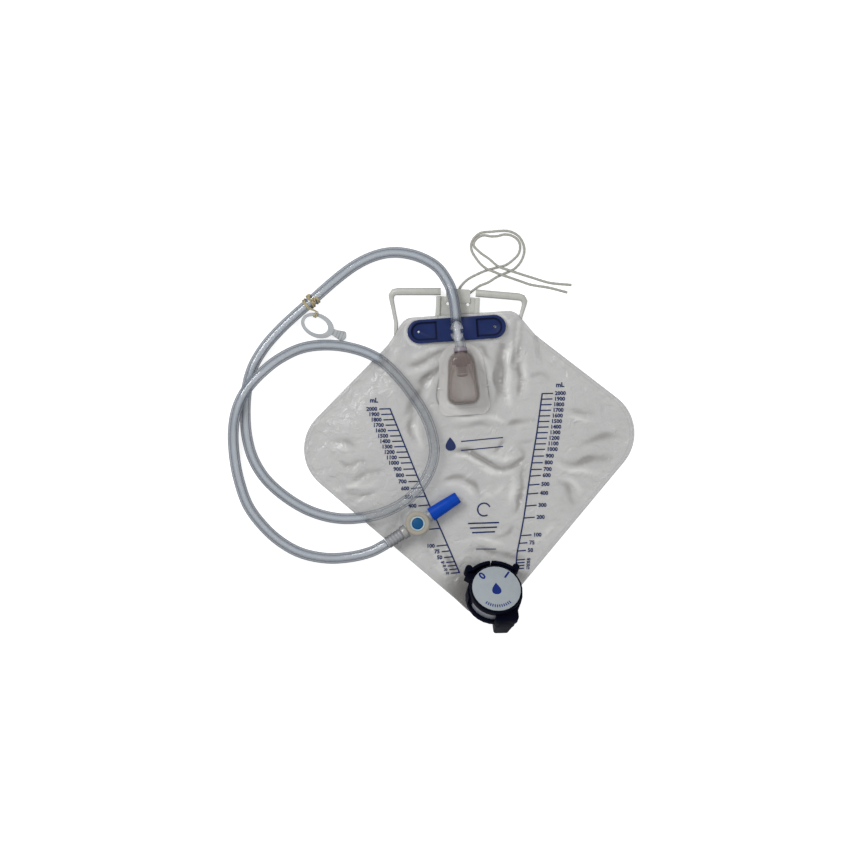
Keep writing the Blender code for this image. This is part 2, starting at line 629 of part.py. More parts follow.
def hanger_bar():
    """The bar riveted over the film: two D pockets, two holes and a window whose prongs cradle the tube."""
    home = frame("hanger_bar_frame", (BAR_X, BAR_Y, BAR_BASE))
    radius = BAR_WIDTH / 2
    straight = BAR_LENGTH / 2 - radius
    ends = [math.radians(a) for a in range(-90, 91, 18)]
    right = [(straight + radius * math.cos(a), radius * math.sin(a)) for a in ends]
    bar = add("hanger_bar", prism(right + [(-x, -y) for x, y in right], 0.0, BAR_THICK), NAVY, home)
    edge = bar.modifiers.new("edge", "BEVEL")
    edge.width = BAR_EDGE
    edge.segments = 2
    edge.limit_method = "ANGLE"
    edge.angle_limit = math.radians(60)
    floor = BAR_THICK - POCKET_DEPTH
    over = BAR_THICK + 0.001
    for side in (-1, 1):
        turn = [math.radians(a) for a in range(-90, 91, 18)]
        round_x = POCKET_REACH - POCKET_RADIUS
        pocket = [(side * (round_x + POCKET_RADIUS * math.cos(a)), POCKET_RADIUS * math.sin(a)) for a in turn]
        pocket += [(side * POCKET_FLAT_X, POCKET_RADIUS), (side * POCKET_FLAT_X, -POCKET_RADIUS)]
        cut(bar, add(f"pocket_{side}", prism(pocket, floor, over), None, home, cutter=True))
        x = side * BAR_HOLE_X
        drill = cylinder((x, 0.0, -0.001), (x, 0.0, over), BAR_HOLE, sides=12)
        cut(bar, add(f"bar_hole_{side}", drill, None, home, cutter=True))
    middle = (WINDOW_LOW + WINDOW_HIGH) / 2
    half = (WINDOW_HIGH - WINDOW_LOW) / 2
    window = []
    for a in range(0, 360, 15):
        x = WINDOW_HALF * math.cos(math.radians(a))
        y = half * math.sin(math.radians(a))
        if abs(y) < PRONG_HALF:
            reach = math.copysign(WINDOW_HALF - PRONG_REACH, x)
            steps = [(x, -PRONG_HALF), (reach, -PRONG_HALF), (reach, PRONG_HALF), (x, PRONG_HALF)]
            window += steps if x > 0 else steps[::-1]
        else:
            window.append((x, y))
    window = [(x, middle + y) for x, y in window]
    cut(bar, add("bar_window", prism(window, -0.001, over), None, home, cutter=True))
    axis_z = TUBE_AT_BAR_Z - BAR_BASE
    trough = cylinder((0.0, -BAR_WIDTH, axis_z), (0.0, BAR_WIDTH, axis_z), TUBE_RADIUS + 2 * GAP, sides=32)
    cut(bar, add("bar_saddle", trough, None, home, cutter=True))


def arch(margin, foot=0.0, step=20.0):
    """The chamber's outline, grown by a margin: an arch at the top and a rounded square at the bottom."""
    radius = ARCH_RADIUS + margin
    centre_y = CHAMBER_TOP - ARCH_RADIUS
    half = CHAMBER_HALF + margin
    bottom = CHAMBER_BOTTOM - margin - foot
    count = round(180 / step)
    angles = [math.pi * k / count for k in range(count + 1)]
    top = [(CHAMBER_X + radius * math.cos(a), centre_y + radius * math.sin(a)) for a in angles]
    corner = CHAMBER_CORNER
    left = rounded([(CHAMBER_X - radius, centre_y, 0.0001), (CHAMBER_X - half, bottom, corner),
                    (CHAMBER_X + half, bottom, corner), (CHAMBER_X + radius, centre_y, 0.0001)], step)
    inner = [p for p in left if p[1] < centre_y - 0.002]
    return top + inner


def drip_chamber():
    flange = add("chamber_flange", prism(arch(FLANGE_MARGIN, FLANGE_SKIRT), FLANGE_BASE, FLANGE_BASE + FLANGE_THICK), CLEAR)
    rim = prism(arch(RIM_MARGIN), FLANGE_BASE + FLANGE_THICK / 2, FLANGE_BASE + FLANGE_THICK + RIM_HEIGHT)
    join(flange, add("flange_rim", rim, None, cutter=True))
    widen = (CHAMBER_HALF - ARCH_RADIUS) / (CHAMBER_TOP - ARCH_RADIUS - CHAMBER_BOTTOM)
    low, high = FLANGE_BASE + FLANGE_THICK / 2, FLANGE_BASE + FLANGE_THICK + RIM_HEIGHT / 2
    for y, reach in RIBS:
        inner = ARCH_RADIUS + widen * (CHAMBER_TOP - ARCH_RADIUS - y) + RIM_MARGIN / 2
        for side in (-1, 1):
            middle = (CHAMBER_X + side * (inner + reach / 2), y, (low + high) / 2)
            rib = box(middle, (reach, RIB_THICK, high - low))
            join(flange, add(f"flange_rib_{y}_{side}", rib, None, cutter=True))
    seat = prism(arch(GAP), FLANGE_BASE + FLANGE_THICK, FLANGE_BASE + 0.01)
    cut(flange, add("flange_seat", seat, None, cutter=True))
    cut(flange, add("flange_opening", prism(arch(-FLAP_MARGIN), 0.0, 0.02), None, cutter=True))

    outline = arch(0.0)
    slices = [(0.0, 1.0), (0.55, 0.97), (0.80, 0.91), (0.93, 0.80), (0.99, 0.62), (1.0, 0.45)]
    low, high = CHAMBER_BOTTOM + CHAMBER_HALF, CHAMBER_TOP - ARCH_RADIUS
    shape = bmesh.new()
    rings = []
    for rise, share in slices:
        ring = []
        for x, y in outline:
            spine_y = min(max(y, low), high)
            place = (CHAMBER_X + share * (x - CHAMBER_X), spine_y + share * (y - spine_y))
            ring.append(shape.verts.new((*place, CHAMBER_BASE + rise * CHAMBER_HEIGHT)))
        rings.append(ring)
    for outer, inner in zip(rings, rings[1:]):
        for k in range(len(outline)):
            n = (k + 1) % len(outline)
            shape.faces.new((outer[k], outer[n], inner[n], inner[k]))
    shape.faces.new(rings[-1])
    bmesh.ops.recalc_face_normals(shape, faces=shape.faces)
    mesh = bpy.data.meshes.new("chamber_housing")
    shape.to_mesh(mesh)
    shape.free()
    housing = add("chamber_housing", mesh, CLEAR)
    wall = housing.modifiers.new("wall", "SOLIDIFY")
    wall.thickness = CHAMBER_WALL
    wall.offset = -1.0
    smooth(housing)
    hole = cylinder((CHAMBER_X, CHAMBER_TOP - 0.006, INLET_Z), (CHAMBER_X, CHAMBER_TOP + 0.006, INLET_Z), COLLAR_RADIUS + GAP)
    cut(housing, add("chamber_inlet_hole", hole, None, cutter=True))

    home = frame("inlet_frame", (CHAMBER_X, CHAMBER_TOP + COLLAR_LENGTH, INLET_Z))
    home.matrix_world = home.matrix_world @ Matrix.Rotation(math.radians(-90), 4, "X")
    inside = ARCH_RADIUS * PLUG_FIT - CHAMBER_WALL
    arch_depth = COLLAR_LENGTH + ARCH_RADIUS
    shoulder = math.sqrt(inside**2 - COLLAR_RADIUS**2) - arch_depth
    full = math.sqrt(inside**2 - PLUG_RADIUS**2) - arch_depth
    plug_end = full - PLUG_LENGTH
    tip = plug_end - DROP_LENGTH
    inlet = turned("inlet_fitting", [
        (COLLAR_RADIUS, 0.0), (COLLAR_RADIUS, shoulder), (PLUG_RADIUS, full), (PLUG_RADIUS, plug_end),
        (DROP_RADIUS, plug_end), (DROP_RADIUS, tip), (DROP_BORE, tip), (DROP_BORE, 0.0),
    ], SMOKE, home, steps=24)
    wide = 6 * DROP_RADIUS
    slope = add("drop_tube_cut", box((0.0, 0.0, -DROP_RADIUS), (wide, wide, 2 * DROP_RADIUS)), None, home, cutter=True)
    slope.location = (0.0, 0.0, tip + DROP_SLOPE_DEPTH)
    slope.rotation_euler = (math.radians(DROP_SLOPE), 0.0, 0.0)
    cut(inlet, slope)

    half, low, high = INLET_WINDOW
    flap = rounded([(CHAMBER_X + a * (half + FLAP_MARGIN), y, 0.003) for a, y in (
        (-1, low - FLAP_MARGIN), (1, low - FLAP_MARGIN), (1, high + FLAP_MARGIN), (-1, high + FLAP_MARGIN))], 45.0)
    add("anti_reflux_flap", prism(flap, FILM_HIGH - GAP - FLAP_THICK, FILM_HIGH - GAP), CLEAR_FILM)


def tube_and_string():
    """The tube leaves the inlet and meets the ferrule in line with them. Both strings lie on the table."""
    face = Vector((CHAMBER_X, CHAMBER_TOP + COLLAR_LENGTH + GAP, INLET_Z))
    end = Vector((*END_PLACE, END_Z))
    route = [tuple(face + Vector((0.0, TUBE_LEAD, 0.0))), *TUBE_ROUTE, tuple(end - along(TUBE_LEAD))]
    points = [face, *smooth_route(route, TUBE_POINTS - 2, TUBE_RADIUS), end]
    rod("drain_tube", points, TUBE_RADIUS, VINYL)
    radius = STRING_DIAMETER / 2
    for name, route in (("inner", STRING_INNER_ROUTE), ("outer", STRING_OUTER_ROUTE)):
        rod("tie_string_" + name, smooth_route(route, STRING_POINTS, radius), radius, STRING)


def along(length):
    """A place on the tube end's axis."""
    turn = math.radians(END_TURN)
    return Vector((math.cos(turn), math.sin(turn), 0.0)) * length


def tube_end_pieces():
    """Ferrule, barrel, sampling port, connector and cap in line, turned about the frame's own Z."""
    start = Vector((*END_PLACE, END_Z))
    home = frame("end_frame", start, END_TURN)
    home.matrix_world = home.matrix_world @ Matrix.Rotation(math.radians(90), 4, "Y")

    pitch = FERRULE_LENGTH / FERRULE_RIBS
    ferrule = [(LUMEN, GAP + FERRULE_LENGTH)]
    for k in reversed(range(FERRULE_RIBS)):
        low = GAP + k * pitch
        ferrule += [(FERRULE_RADIUS, low + pitch), (FERRULE_RADIUS + FERRULE_RIB, low + 0.65 * pitch),
                    (FERRULE_RADIUS + FERRULE_RIB, low + 0.35 * pitch)]
    ferrule += [(FERRULE_RADIUS, GAP), (LUMEN, GAP)]
    turned("tube_ferrule", ferrule, GREY, home, steps=12)

    barrel_from = 2 * GAP + FERRULE_LENGTH
    barrel_to = barrel_from + BARREL_LENGTH
    turned("connector_barrel", [
        (BARREL_RADIUS, barrel_to), (BARREL_RADIUS, barrel_from + 0.0010), (BARREL_RADIUS - 0.0010, barrel_from),
        (LUMEN, barrel_from), (LUMEN, barrel_to),
    ], CLEAR, home, steps=24)

    port_from = barrel_to + GAP
    port_to = port_from + PORT_LENGTH
    port = turned("port_body", [
        (PORT_RADIUS, port_to), (PORT_RADIUS, port_from), (LUMEN, port_from), (LUMEN, port_to),
    ], CLEAR, home, steps=20)
    upright = frame("port_frame", start + along(PORT_AT), END_TURN)
    sides = 16
    boss = SEPTUM_RADIUS + GAP + BOSS_WALL
    ring_base = SHELF_HEIGHT + SHELF_THICK + GAP
    ring_top = ring_base + RING_THICK
    shelf = cylinder((0, 0, SHELF_HEIGHT), (0, 0, SHELF_HEIGHT + SHELF_THICK), RING_RADIUS - SHELF_INSET, sides=sides)
    join(port, add("port_shelf", shelf, None, upright, cutter=True))
    post = cylinder((0, 0, LUMEN / 3), (0, 0, ring_top), boss, sides=sides)
    join(port, add("port_boss", post, None, upright, cutter=True))
    seat = ring_top - SEPTUM_THICK - GAP
    well = cylinder((0, 0, seat), (0, 0, ring_top + 0.002), SEPTUM_RADIUS + GAP, sides=sides)
    cut(port, add("port_well", well, None, upright, cutter=True))
    sample = cylinder((0, 0, 0), (0, 0, seat + 0.001), LUMEN * 0.6, sides=12)
    cut(port, add("port_sample_way", sample, None, upright, cutter=True))
    bore = cylinder((0, 0, port_from - 0.001), (0, 0, port_to + 0.001), LUMEN, sides=20)
    cut(port, add("port_lumen", bore, None, home, cutter=True))
    inner = boss + GAP
    turned("port_ring", [
        (inner, ring_top + 0.0004), (RING_RADIUS - 0.0014, ring_top + 0.0004), (RING_RADIUS, ring_top - 0.0010),
        (RING_RADIUS, ring_base), (inner, ring_base),
    ], BEIGE, upright, steps=24)
    turned("port_septum", [
        (0.0, ring_top + 0.0006), (SEPTUM_RADIUS * 0.6, ring_top + 0.0004), (SEPTUM_RADIUS, ring_top - 0.0004),
        (SEPTUM_RADIUS, seat + GAP), (0.0, seat + GAP),
    ], SEPTUM_BLUE, upright, closed=False, steps=20)

    stub = port_to + GAP
    root = stub + CONNECTOR_STUB
    tip = root + CONNECTOR_LENGTH
    turned("catheter_connector", [
        (LUMEN * 0.7, tip), (CONNECTOR_TIP, tip), (CONNECTOR_TIP + 0.0005, tip - 0.0100),
        (CONNECTOR_TIP + 0.0010, tip - 0.0106), (CONNECTOR_ROOT, root), (CONNECTOR_FLANGE, root),
        (CONNECTOR_FLANGE, stub), (LUMEN * 0.7, stub),
    ], GREY, home, steps=18)
    mouth = root + GAP
    end = mouth + CAP_LENGTH
    turned("protective_cap", [
        (0.0, end), (CAP_END_RADIUS - 0.0008, end), (CAP_END_RADIUS, end - 0.0008), (CAP_RADIUS, mouth),
        (CAP_RADIUS - CAP_WALL, mouth), (CAP_END_RADIUS - CAP_WALL, end - CAP_WALL * 1.5), (0.0, end - CAP_WALL * 1.5),
    ], CAP_BLUE, home, closed=False, steps=24)


def sheet_clip():
    """An oval ring with a fan-shaped thumb tab, lifted at the band and resting on the tab's tip."""
    home = frame("clip_frame", (*CLIP_PLACE, CLIP_LIFT), CLIP_TURN)
    down = math.asin((CLIP_LIFT - GAP / 2) / (CLIP_LONG + TAB_LENGTH))
    home.matrix_world = home.matrix_world @ Matrix.Rotation(down, 4, "Y")
    low, high = 0.0, CLIP_THICK
    clip = add("sheet_clip", prism(ellipse(0, 0, CLIP_LONG, CLIP_WIDE, 32), low, high), CLIP_GREY, home)
    reach = CLIP_LONG + TAB_LENGTH
    tab = rounded([(CLIP_LONG - 0.005, TAB_NECK, 0.001), (CLIP_LONG - 0.005, -TAB_NECK, 0.001),
                   (CLIP_LONG + 0.002, -TAB_NECK, 0.003), (reach - 0.003, -TAB_FAN, 0.002), (reach, 0.0, 0.004),
                   (reach - 0.003, TAB_FAN, 0.002), (CLIP_LONG + 0.002, TAB_NECK, 0.003)], 30.0)
    join(clip, add("clip_tab", prism(tab, low, high * 0.8), None, home, cutter=True))
    hole = ellipse(-CLIP_HOLE_BACK, 0, CLIP_HOLE_LONG, CLIP_HOLE_WIDE, 28)
    cut(clip, add("clip_opening", prism(hole, -0.001, high + 0.001), None, home, cutter=True))
    for k in range(3):
        x = CLIP_LONG + 0.0045 + 0.0030 * k
        groove = box((x, 0.0, high * 0.8), (0.0012, 0.02, 0.0010))
        cut(clip, add(f"clip_groove_{k}", groove, None, home, cutter=True))


def rubber_band():
    """Turns round the tube, then over the clip's ring, down inside it and back under it."""
    before, middle, after = (Vector(TUBE_ROUTE[BAND_AT + k]) for k in (-1, 0, 1))
    ahead = (after - before).normalized()
    side = ahead.cross(Vector((0.0, 0.0, 1.0))).normalized()
    up = side.cross(ahead)
    wrap = TUBE_RADIUS + BAND_RADIUS + 2 * GAP
    points = []
    count = 10
    for k in range(count * BAND_TURNS + 2):
        angle = math.radians(90) + 2 * math.pi * k / count
        run = BAND_PITCH * (k / count - BAND_TURNS / 2)
        points.append(middle + ahead * run + side * wrap * math.cos(angle) + up * wrap * math.sin(angle))
    clip = bpy.data.objects["clip_frame"].matrix_world
    outer = CLIP_WIDE * math.sqrt(1 - (BAND_ON_CLIP / CLIP_LONG) ** 2)
    inner = CLIP_HOLE_WIDE * math.sqrt(1 - ((BAND_ON_CLIP + CLIP_HOLE_BACK) / CLIP_HOLE_LONG) ** 2)
    off = BAND_RADIUS + GAP
    over, inside = CLIP_THICK + off, inner - off * 1.1
    for y, z in [
        (outer + 1.6 * off, over + 0.6 * off), ((inner + outer) / 2, over), (inner - 0.3 * off, over),
        (inside, over - 0.6 * off), (inside, CLIP_THICK / 2), (inside, -0.5 * off), (inside + 0.6 * off, -off),
        ((inner + outer) / 2, -off), (outer, -off),
    ]:
        points.append(clip @ Vector((BAND_ON_CLIP, y, z)))
    rod("rubber_band", points, BAND_RADIUS, BAND_RUBBER)


def valve():
    """A knob with a face disc turns a barrel in a cup. The cup carries the shroud, the wing and the spout."""
    home = frame("valve_frame", VALVE_PLACE, 0.0, (VALVE_LEAN, VALVE_LEAN_TOWARDS))
    bore = PIN_RADIUS + GAP
    under_face = -FACE_THICK - GAP
    knob_floor = under_face - KNOB_TOP
    turned("valve_face", [(0.0, 0.0), (FACE_RADIUS, 0.0), (FACE_RADIUS, -FACE_THICK), (0.0, -FACE_THICK)],
           FACE_GREY, home, closed=False, steps=28)

    skirt = KNOB_RADIUS - KNOB_SKIRT
    head_well = PIN_HEAD_RADIUS + GAP
    head_seat = under_face - GAP - PIN_HEAD - GAP
    hub_end = -HUB_END
    knob = turned("valve_knob", [
        (FACE_RADIUS + GAP, -KNOB_RIM), (KNOB_RADIUS - KNOB_EDGE, -KNOB_RIM), (KNOB_RADIUS, -KNOB_RIM - KNOB_EDGE),
        (KNOB_RADIUS, -KNOB_HEIGHT), (skirt, -KNOB_HEIGHT), (skirt, knob_floor), (HUB_RADIUS, knob_floor),
        (HUB_RADIUS, hub_end), (bore, hub_end), (bore, head_seat), (head_well, head_seat),
        (head_well, under_face), (FACE_RADIUS + GAP, under_face),
    ], BLACK_NAVY, home, steps=28)
    lug_from = WINDOW_FROM + LUG_CLEARANCE
    barrel_radius = BASE_RADIUS - BASE_WALL - RUNNING_GAP
    lug = prism(sector(barrel_radius + GAP, KNOB_RADIUS - GAP, lug_from, lug_from + LUG_SWEEP, 4.0),
                -WINDOW_DEPTH + RUNNING_GAP, -KNOB_HEIGHT + RUNNING_GAP)
    join(knob, add("knob_lug", lug, None, home, cutter=True))

    floor_top = -BASE_DEPTH + BASE_FLOOR
    barrel_low = floor_top + 2 * SEAL_RADIUS + 2 * GAP
    barrel = turned("valve_barrel", [
        (barrel_radius - BARREL_WALL, knob_floor - GAP), (barrel_radius, knob_floor - GAP), (barrel_radius, barrel_low),
        (barrel_radius - BARREL_WALL, barrel_low),
    ], GREY, home, steps=28)
    port_turn = math.atan2(SPOUT_Y, SPOUT_X) - math.radians(BARREL_PORT_TURN)
    port_end = (math.cos(port_turn) * BASE_RADIUS, math.sin(port_turn) * BASE_RADIUS, -BARREL_PORT_DEPTH)
    port = cylinder((0, 0, -BARREL_PORT_DEPTH), port_end, BARREL_PORT, sides=12)
    cut(barrel, add("barrel_port", port, None, home, cutter=True))
    seal_turn = barrel_radius - BARREL_WALL / 2
    seal_z = floor_top + GAP + SEAL_RADIUS
    seal = [(seal_turn - SEAL_RADIUS * math.cos(a), seal_z + SEAL_RADIUS * math.sin(a))
            for a in (2 * math.pi * k / 6 for k in range(6))]
    turned("valve_seal", seal, SEAL_RUBBER, home, steps=20)
    pin_end = floor_top - BASE_FLOOR / 3
    turned("valve_pin", [
        (0.0, under_face - GAP), (PIN_HEAD_RADIUS, under_face - GAP), (PIN_HEAD_RADIUS, head_seat + GAP),
        (PIN_RADIUS, head_seat + GAP), (PIN_RADIUS, pin_end), (0.0, pin_end),
    ], GREY, home, closed=False, steps=16)

    wall_top = -KNOB_HEIGHT - RUNNING_GAP
    boss_top = hub_end - GAP
    base = turned("valve_base", [
        (0.0, pin_end - GAP), (bore, pin_end - GAP), (bore, boss_top), (HUB_RADIUS, boss_top), (HUB_RADIUS, floor_top),
        (BASE_RADIUS - BASE_WALL, floor_top), (BASE_RADIUS - BASE_WALL, wall_top), (BASE_RADIUS, wall_top),
        (BASE_RADIUS, -BASE_DEPTH + BASE_EDGE), (BASE_RADIUS - BASE_EDGE, -BASE_DEPTH), (0.0, -BASE_DEPTH),
    ], BLACK_NAVY, home, closed=False, steps=28)
    left, right = 90 + SHROUD_HALF, 90 - SHROUD_HALF
    web_inner = BASE_RADIUS - 2 * WEB_STEP
    in_wall = BASE_RADIUS - BASE_WALL / 2

    def block(half):
        """The outline of what stands out of the cup's wall above the spout."""
        low_x, high_x = SPOUT_X - half, SPOUT_X + half
        outline = rounded([(high_x, -math.sqrt(in_wall**2 - high_x**2), GAP), (high_x, BLOCK_OUTER, BLOCK_CORNER),
                           (low_x, BLOCK_OUTER, BLOCK_CORNER), (low_x, -math.sqrt(in_wall**2 - low_x**2), GAP)], 30.0)
        inside = [low_x + (high_x - low_x) * k / 6 for k in range(1, 6)]
        return outline + [(x, -math.sqrt(in_wall**2 - x**2)) for x in inside]

    spout = rounded([(SPOUT_X + SPOUT_ROOT * x, SPOUT_Y + SPOUT_ROOT * y, SPOUT_CORNER)
                     for x, y in ((1, 1), (1, -1), (-1, -1), (-1, 1))], 30.0)
    joined = {
        "web": prism(sector(web_inner, SHROUD_OUTER - WEB_STEP, right, left), -SHROUD_FLOOR, -SHROUD_FLOOR + SHROUD_WEB),
        "shroud": prism(sector(SHROUD_INNER, SHROUD_OUTER, right + 1, left - 1), -SHROUD_FLOOR + WEB_STEP, -SHROUD_TOP),
        "wing": prism(sector(web_inner - WEB_STEP, WING_OUTER, left - 3, WING_TO), -SHROUD_FLOOR + 2 * WEB_STEP, -WING_TOP),
        "block": prism(block(BLOCK_HALF), -BLOCK_LOW, -BLOCK_TOP),
        "spout_root": prism(block(SPOUT_ROOT), -BASE_DEPTH - WEB_STEP, -BLOCK_LOW + WEB_STEP),
        "spout": prism(spout, -SPOUT_END, -BASE_DEPTH + BASE_FLOOR / 2, SPOUT_TIP / SPOUT_ROOT, (SPOUT_X, SPOUT_Y)),
    }
    for side in (-1, 1):
        angle = math.radians(90 - side * SHROUD_HALF)
        x, y = (SHROUD_OUTER + EAR_REACH) * math.cos(angle), (SHROUD_OUTER + EAR_REACH) * math.sin(angle)
        foot, head = -SHROUD_FLOOR + 3 * WEB_STEP, -SHROUD_TOP - 2 * WEB_STEP
        joined[f"ear_{side}"] = cylinder((x, y, foot), (x, y, head), EAR_RADIUS, sides=12)
    for name, mesh in joined.items():
        join(base, add("base_" + name, mesh, None, home, cutter=True))
    cuts = {
        "window": prism(sector(HUB_RADIUS + 0.001, BASE_RADIUS + 0.001, WINDOW_FROM, WINDOW_TO), -WINDOW_DEPTH, 0.0),
        "slot": prism(sector(SHROUD_INNER - 0.001, SHROUD_OUTER + 0.001, 92 - SHROUD_SLOT, 92 + SHROUD_SLOT),
                      -SHROUD_FLOOR + SHROUD_WEB, 0.0),
        "spout_bore": cylinder((SPOUT_X, SPOUT_Y, -SPOUT_END - 0.001), (SPOUT_X, SPOUT_Y, -BASE_DEPTH - 0.002),
                               SPOUT_BORE, sides=20),
        "spout_way": cylinder((SPOUT_X, SPOUT_Y, -BASE_DEPTH - 0.005), (SPOUT_X * 0.6, SPOUT_Y * 0.6, floor_top + 0.002),
                              SPOUT_WAY, sides=12),
    }
    for name, mesh in cuts.items():
        cut(base, add("base_cut_" + name, mesh, None, home, cutter=True))
    drain = cylinder((*NECK_PLACE, 0.0), (*NECK_PLACE, NECK_TOP), NECK_BORE, sides=16)
    cut(base, add("base_drain_way", drain, None, cutter=True))

    flange_low = 2 * FILM + 2 * GAP
    neck = turned("outlet_neck", [
        (NECK_BORE, NECK_TOP), (NECK_RADIUS, NECK_TOP), (NECK_RADIUS, flange_low + NECK_FLANGE_THICK),
        (NECK_FLANGE, flange_low + NECK_FLANGE_THICK), (NECK_FLANGE, flange_low), (NECK_BORE, flange_low),
    ], CLEAR, steps=16)
    neck.location = (*NECK_PLACE, 0.0)
    above = box((0.0, 0.0, -BASE_DEPTH - GAP + 0.02), (0.1, 0.1, 0.04))
    cut(neck, add("neck_cut", above, None, home, cutter=True))


films()
hanger()
hanger_bar()
drip_chamber()
tube_and_string()
tube_end_pieces()
sheet_clip()
rubber_band()
valve()
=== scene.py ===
# %% [markdown]
# # Urine drainage bag
# The bag lies flat on a table with its front up. Its drain tube loops over it, and its tie string, sheet clip and
# capped sampling port lie beside it. The rigid mouldings come from the CAD frame. Soft pieces, such as the two films,
# the tube and the string, are worked out here as surfaces, because their folds and walls are too fine for the CAD.

# %% Load the frame
import math

import bmesh
import bpy
import numpy as np
from mathutils import Matrix, Vector


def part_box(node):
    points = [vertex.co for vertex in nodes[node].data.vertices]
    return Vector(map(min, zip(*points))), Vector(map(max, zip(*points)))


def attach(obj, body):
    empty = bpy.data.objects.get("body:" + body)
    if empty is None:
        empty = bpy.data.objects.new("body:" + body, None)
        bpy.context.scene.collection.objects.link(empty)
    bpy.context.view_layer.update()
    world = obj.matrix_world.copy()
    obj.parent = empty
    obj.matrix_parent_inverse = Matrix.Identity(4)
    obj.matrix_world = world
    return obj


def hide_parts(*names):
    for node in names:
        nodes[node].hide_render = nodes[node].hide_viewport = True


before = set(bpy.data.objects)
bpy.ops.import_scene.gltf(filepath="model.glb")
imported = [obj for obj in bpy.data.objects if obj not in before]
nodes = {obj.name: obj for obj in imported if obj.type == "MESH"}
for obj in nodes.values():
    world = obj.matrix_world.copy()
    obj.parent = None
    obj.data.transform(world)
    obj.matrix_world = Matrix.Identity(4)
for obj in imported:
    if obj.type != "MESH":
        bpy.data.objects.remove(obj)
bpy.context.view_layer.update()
MM = 0.001

# %% [markdown]
# ## Camera
# The photograph looks straight down, and the bag is turned 4 degrees in it. A long lens far away gives the same
# near-parallel view. The picture is 0.878 m wide at the table.

# %% Camera
PHOTO_TURN = math.radians(4.0)
PHOTO_CENTRE = (-0.0380, 0.0338)
PHOTO_WIDTH = 0.878
CAMERA_HEIGHT = 6.0


def placed(name, data):
    """A new object in the scene, at the origin and unturned."""
    made = bpy.data.objects.new(name, data)
    bpy.context.scene.collection.objects.link(made)
    return made


camera = placed("camera", bpy.data.cameras.new("camera"))
camera.data.sensor_width = 36.0
camera.data.lens = 36.0 * CAMERA_HEIGHT / PHOTO_WIDTH
camera.matrix_world = Matrix.Translation((*PHOTO_CENTRE, CAMERA_HEIGHT)) @ Matrix.Rotation(-PHOTO_TURN, 4, "Z")
bpy.context.scene.camera = camera
PHOTO_PIXEL = 1.02 * MM
PHOTO_ORIGIN = (470.0, 461.0)


def from_photo(px, py):
    """X and Y on the bag of a place in the picture: its offset from the bag's origin, times a pixel's size, turned."""
    right, up = np.asarray(px) - PHOTO_ORIGIN[0], PHOTO_ORIGIN[1] - np.asarray(py)
    cos, sin = math.cos(PHOTO_TURN), math.sin(PHOTO_TURN)
    return np.stack([right * cos + up * sin, up * cos - right * sin], axis=-1) * PHOTO_PIXEL


print("camera lens", round(camera.data.lens, 1), "mm")

# %% [markdown]
# ## Helpers for surfaces
# Every new piece is a grid of points, worked out at once for the whole grid, and one function turns a grid into a
# mesh. A tube is a circle carried along a path, so it needs the path's direction and two directions across it.


# %% Surface helpers
def ease(value):
    """0 to 1 with level ends: 3 v squared minus 2 v cubed, with v held between 0 and 1."""
    value = np.clip(value, 0.0, 1.0)
    return value * value * (3 - 2 * value)


def face_outwards(mesh, merge=False):
    """Makes a mesh smooth with all its faces outwards, after doubles are merged if `merge`."""
    shape = bmesh.new()
    shape.from_mesh(mesh)
    if merge:
        bmesh.ops.remove_doubles(shape, verts=shape.verts, dist=0.001 * MM)
    bmesh.ops.recalc_face_normals(shape, faces=shape.faces)
    shape.to_mesh(mesh)
    shape.free()
    mesh.shade_smooth()


def surface(name, grid, around=True, wrap=False, start=None, end=None, face_up=False):
    """A mesh of a (rows, columns, 3) grid. Columns join up if `around` and rows if `wrap`. A fan to the point `start`
    or `end` closes the first or last row. An open sheet looks up if `face_up`."""
    rows, columns, _ = grid.shape
    index = np.arange(rows * columns).reshape(rows, columns)
    if around:
        index = np.concatenate([index, index[:, :1]], axis=1)
    if wrap:
        index = np.concatenate([index, index[:1]], axis=0)
    quads = np.stack([index[:-1, :-1], index[:-1, 1:], index[1:, 1:], index[1:, :-1]], axis=-1).reshape(-1, 4)
    faces = quads.tolist()
    points = grid.reshape(-1, 3).tolist()
    for middle, row in ((start, index[0]), (end, index[-1])):
        if middle is not None:
            hub = np.full(len(row) - 1, len(points))
            points.append(list(middle))
            faces += np.stack([row[:-1], row[1:], hub], axis=-1).tolist()
    mesh = bpy.data.meshes.new(name)
    mesh.from_pydata(points, [], faces)
    face_outwards(mesh)
    if face_up and mesh.polygons[0].normal.z < 0:
        mesh.flip_normals()
    return placed(name, mesh)


def smooth_route(route, spacing):
    """Evenly spaced points on the Catmull-Rom curve through the route: each stretch is the cubic whose ends and slopes
    come from its four nearest points."""
    route = np.array(route)
    knots = np.concatenate([[2 * route[0] - route[1]], route, [2 * route[-1] - route[-2]]])
    a, b, c, d = (knots[k:len(knots) - 3 + k, None, :] for k in range(4))
    t = np.linspace(0.0, 1.0, 40, endpoint=False)[None, :, None]
    dense = 0.5 * (2 * b + (c - a) * t + (2 * a - 5 * b + 4 * c - d) * t**2 + (3 * b - a - 3 * c + d) * t**3)
    dense = np.concatenate([dense.reshape(-1, 3), route[-1:]])
    run = np.concatenate([[0.0], np.cumsum(np.linalg.norm(np.diff(dense, axis=0), axis=1))])
    at = np.linspace(0.0, run[-1], max(2, round(run[-1] / spacing)))
    return np.stack([np.interp(at, run, dense[:, k]) for k in range(3)], axis=1)


def along_path(path):
    """Unit vectors at each point of a path that lies more or less flat: ahead, sideways (ahead x up) and up."""
    ahead = np.gradient(path, axis=0)
    ahead /= np.linalg.norm(ahead, axis=1, keepdims=True)
    side = np.cross(ahead, [0.0, 0.0, 1.0])
    side /= np.linalg.norm(side, axis=1, keepdims=True)
    return ahead, side, np.cross(side, ahead)


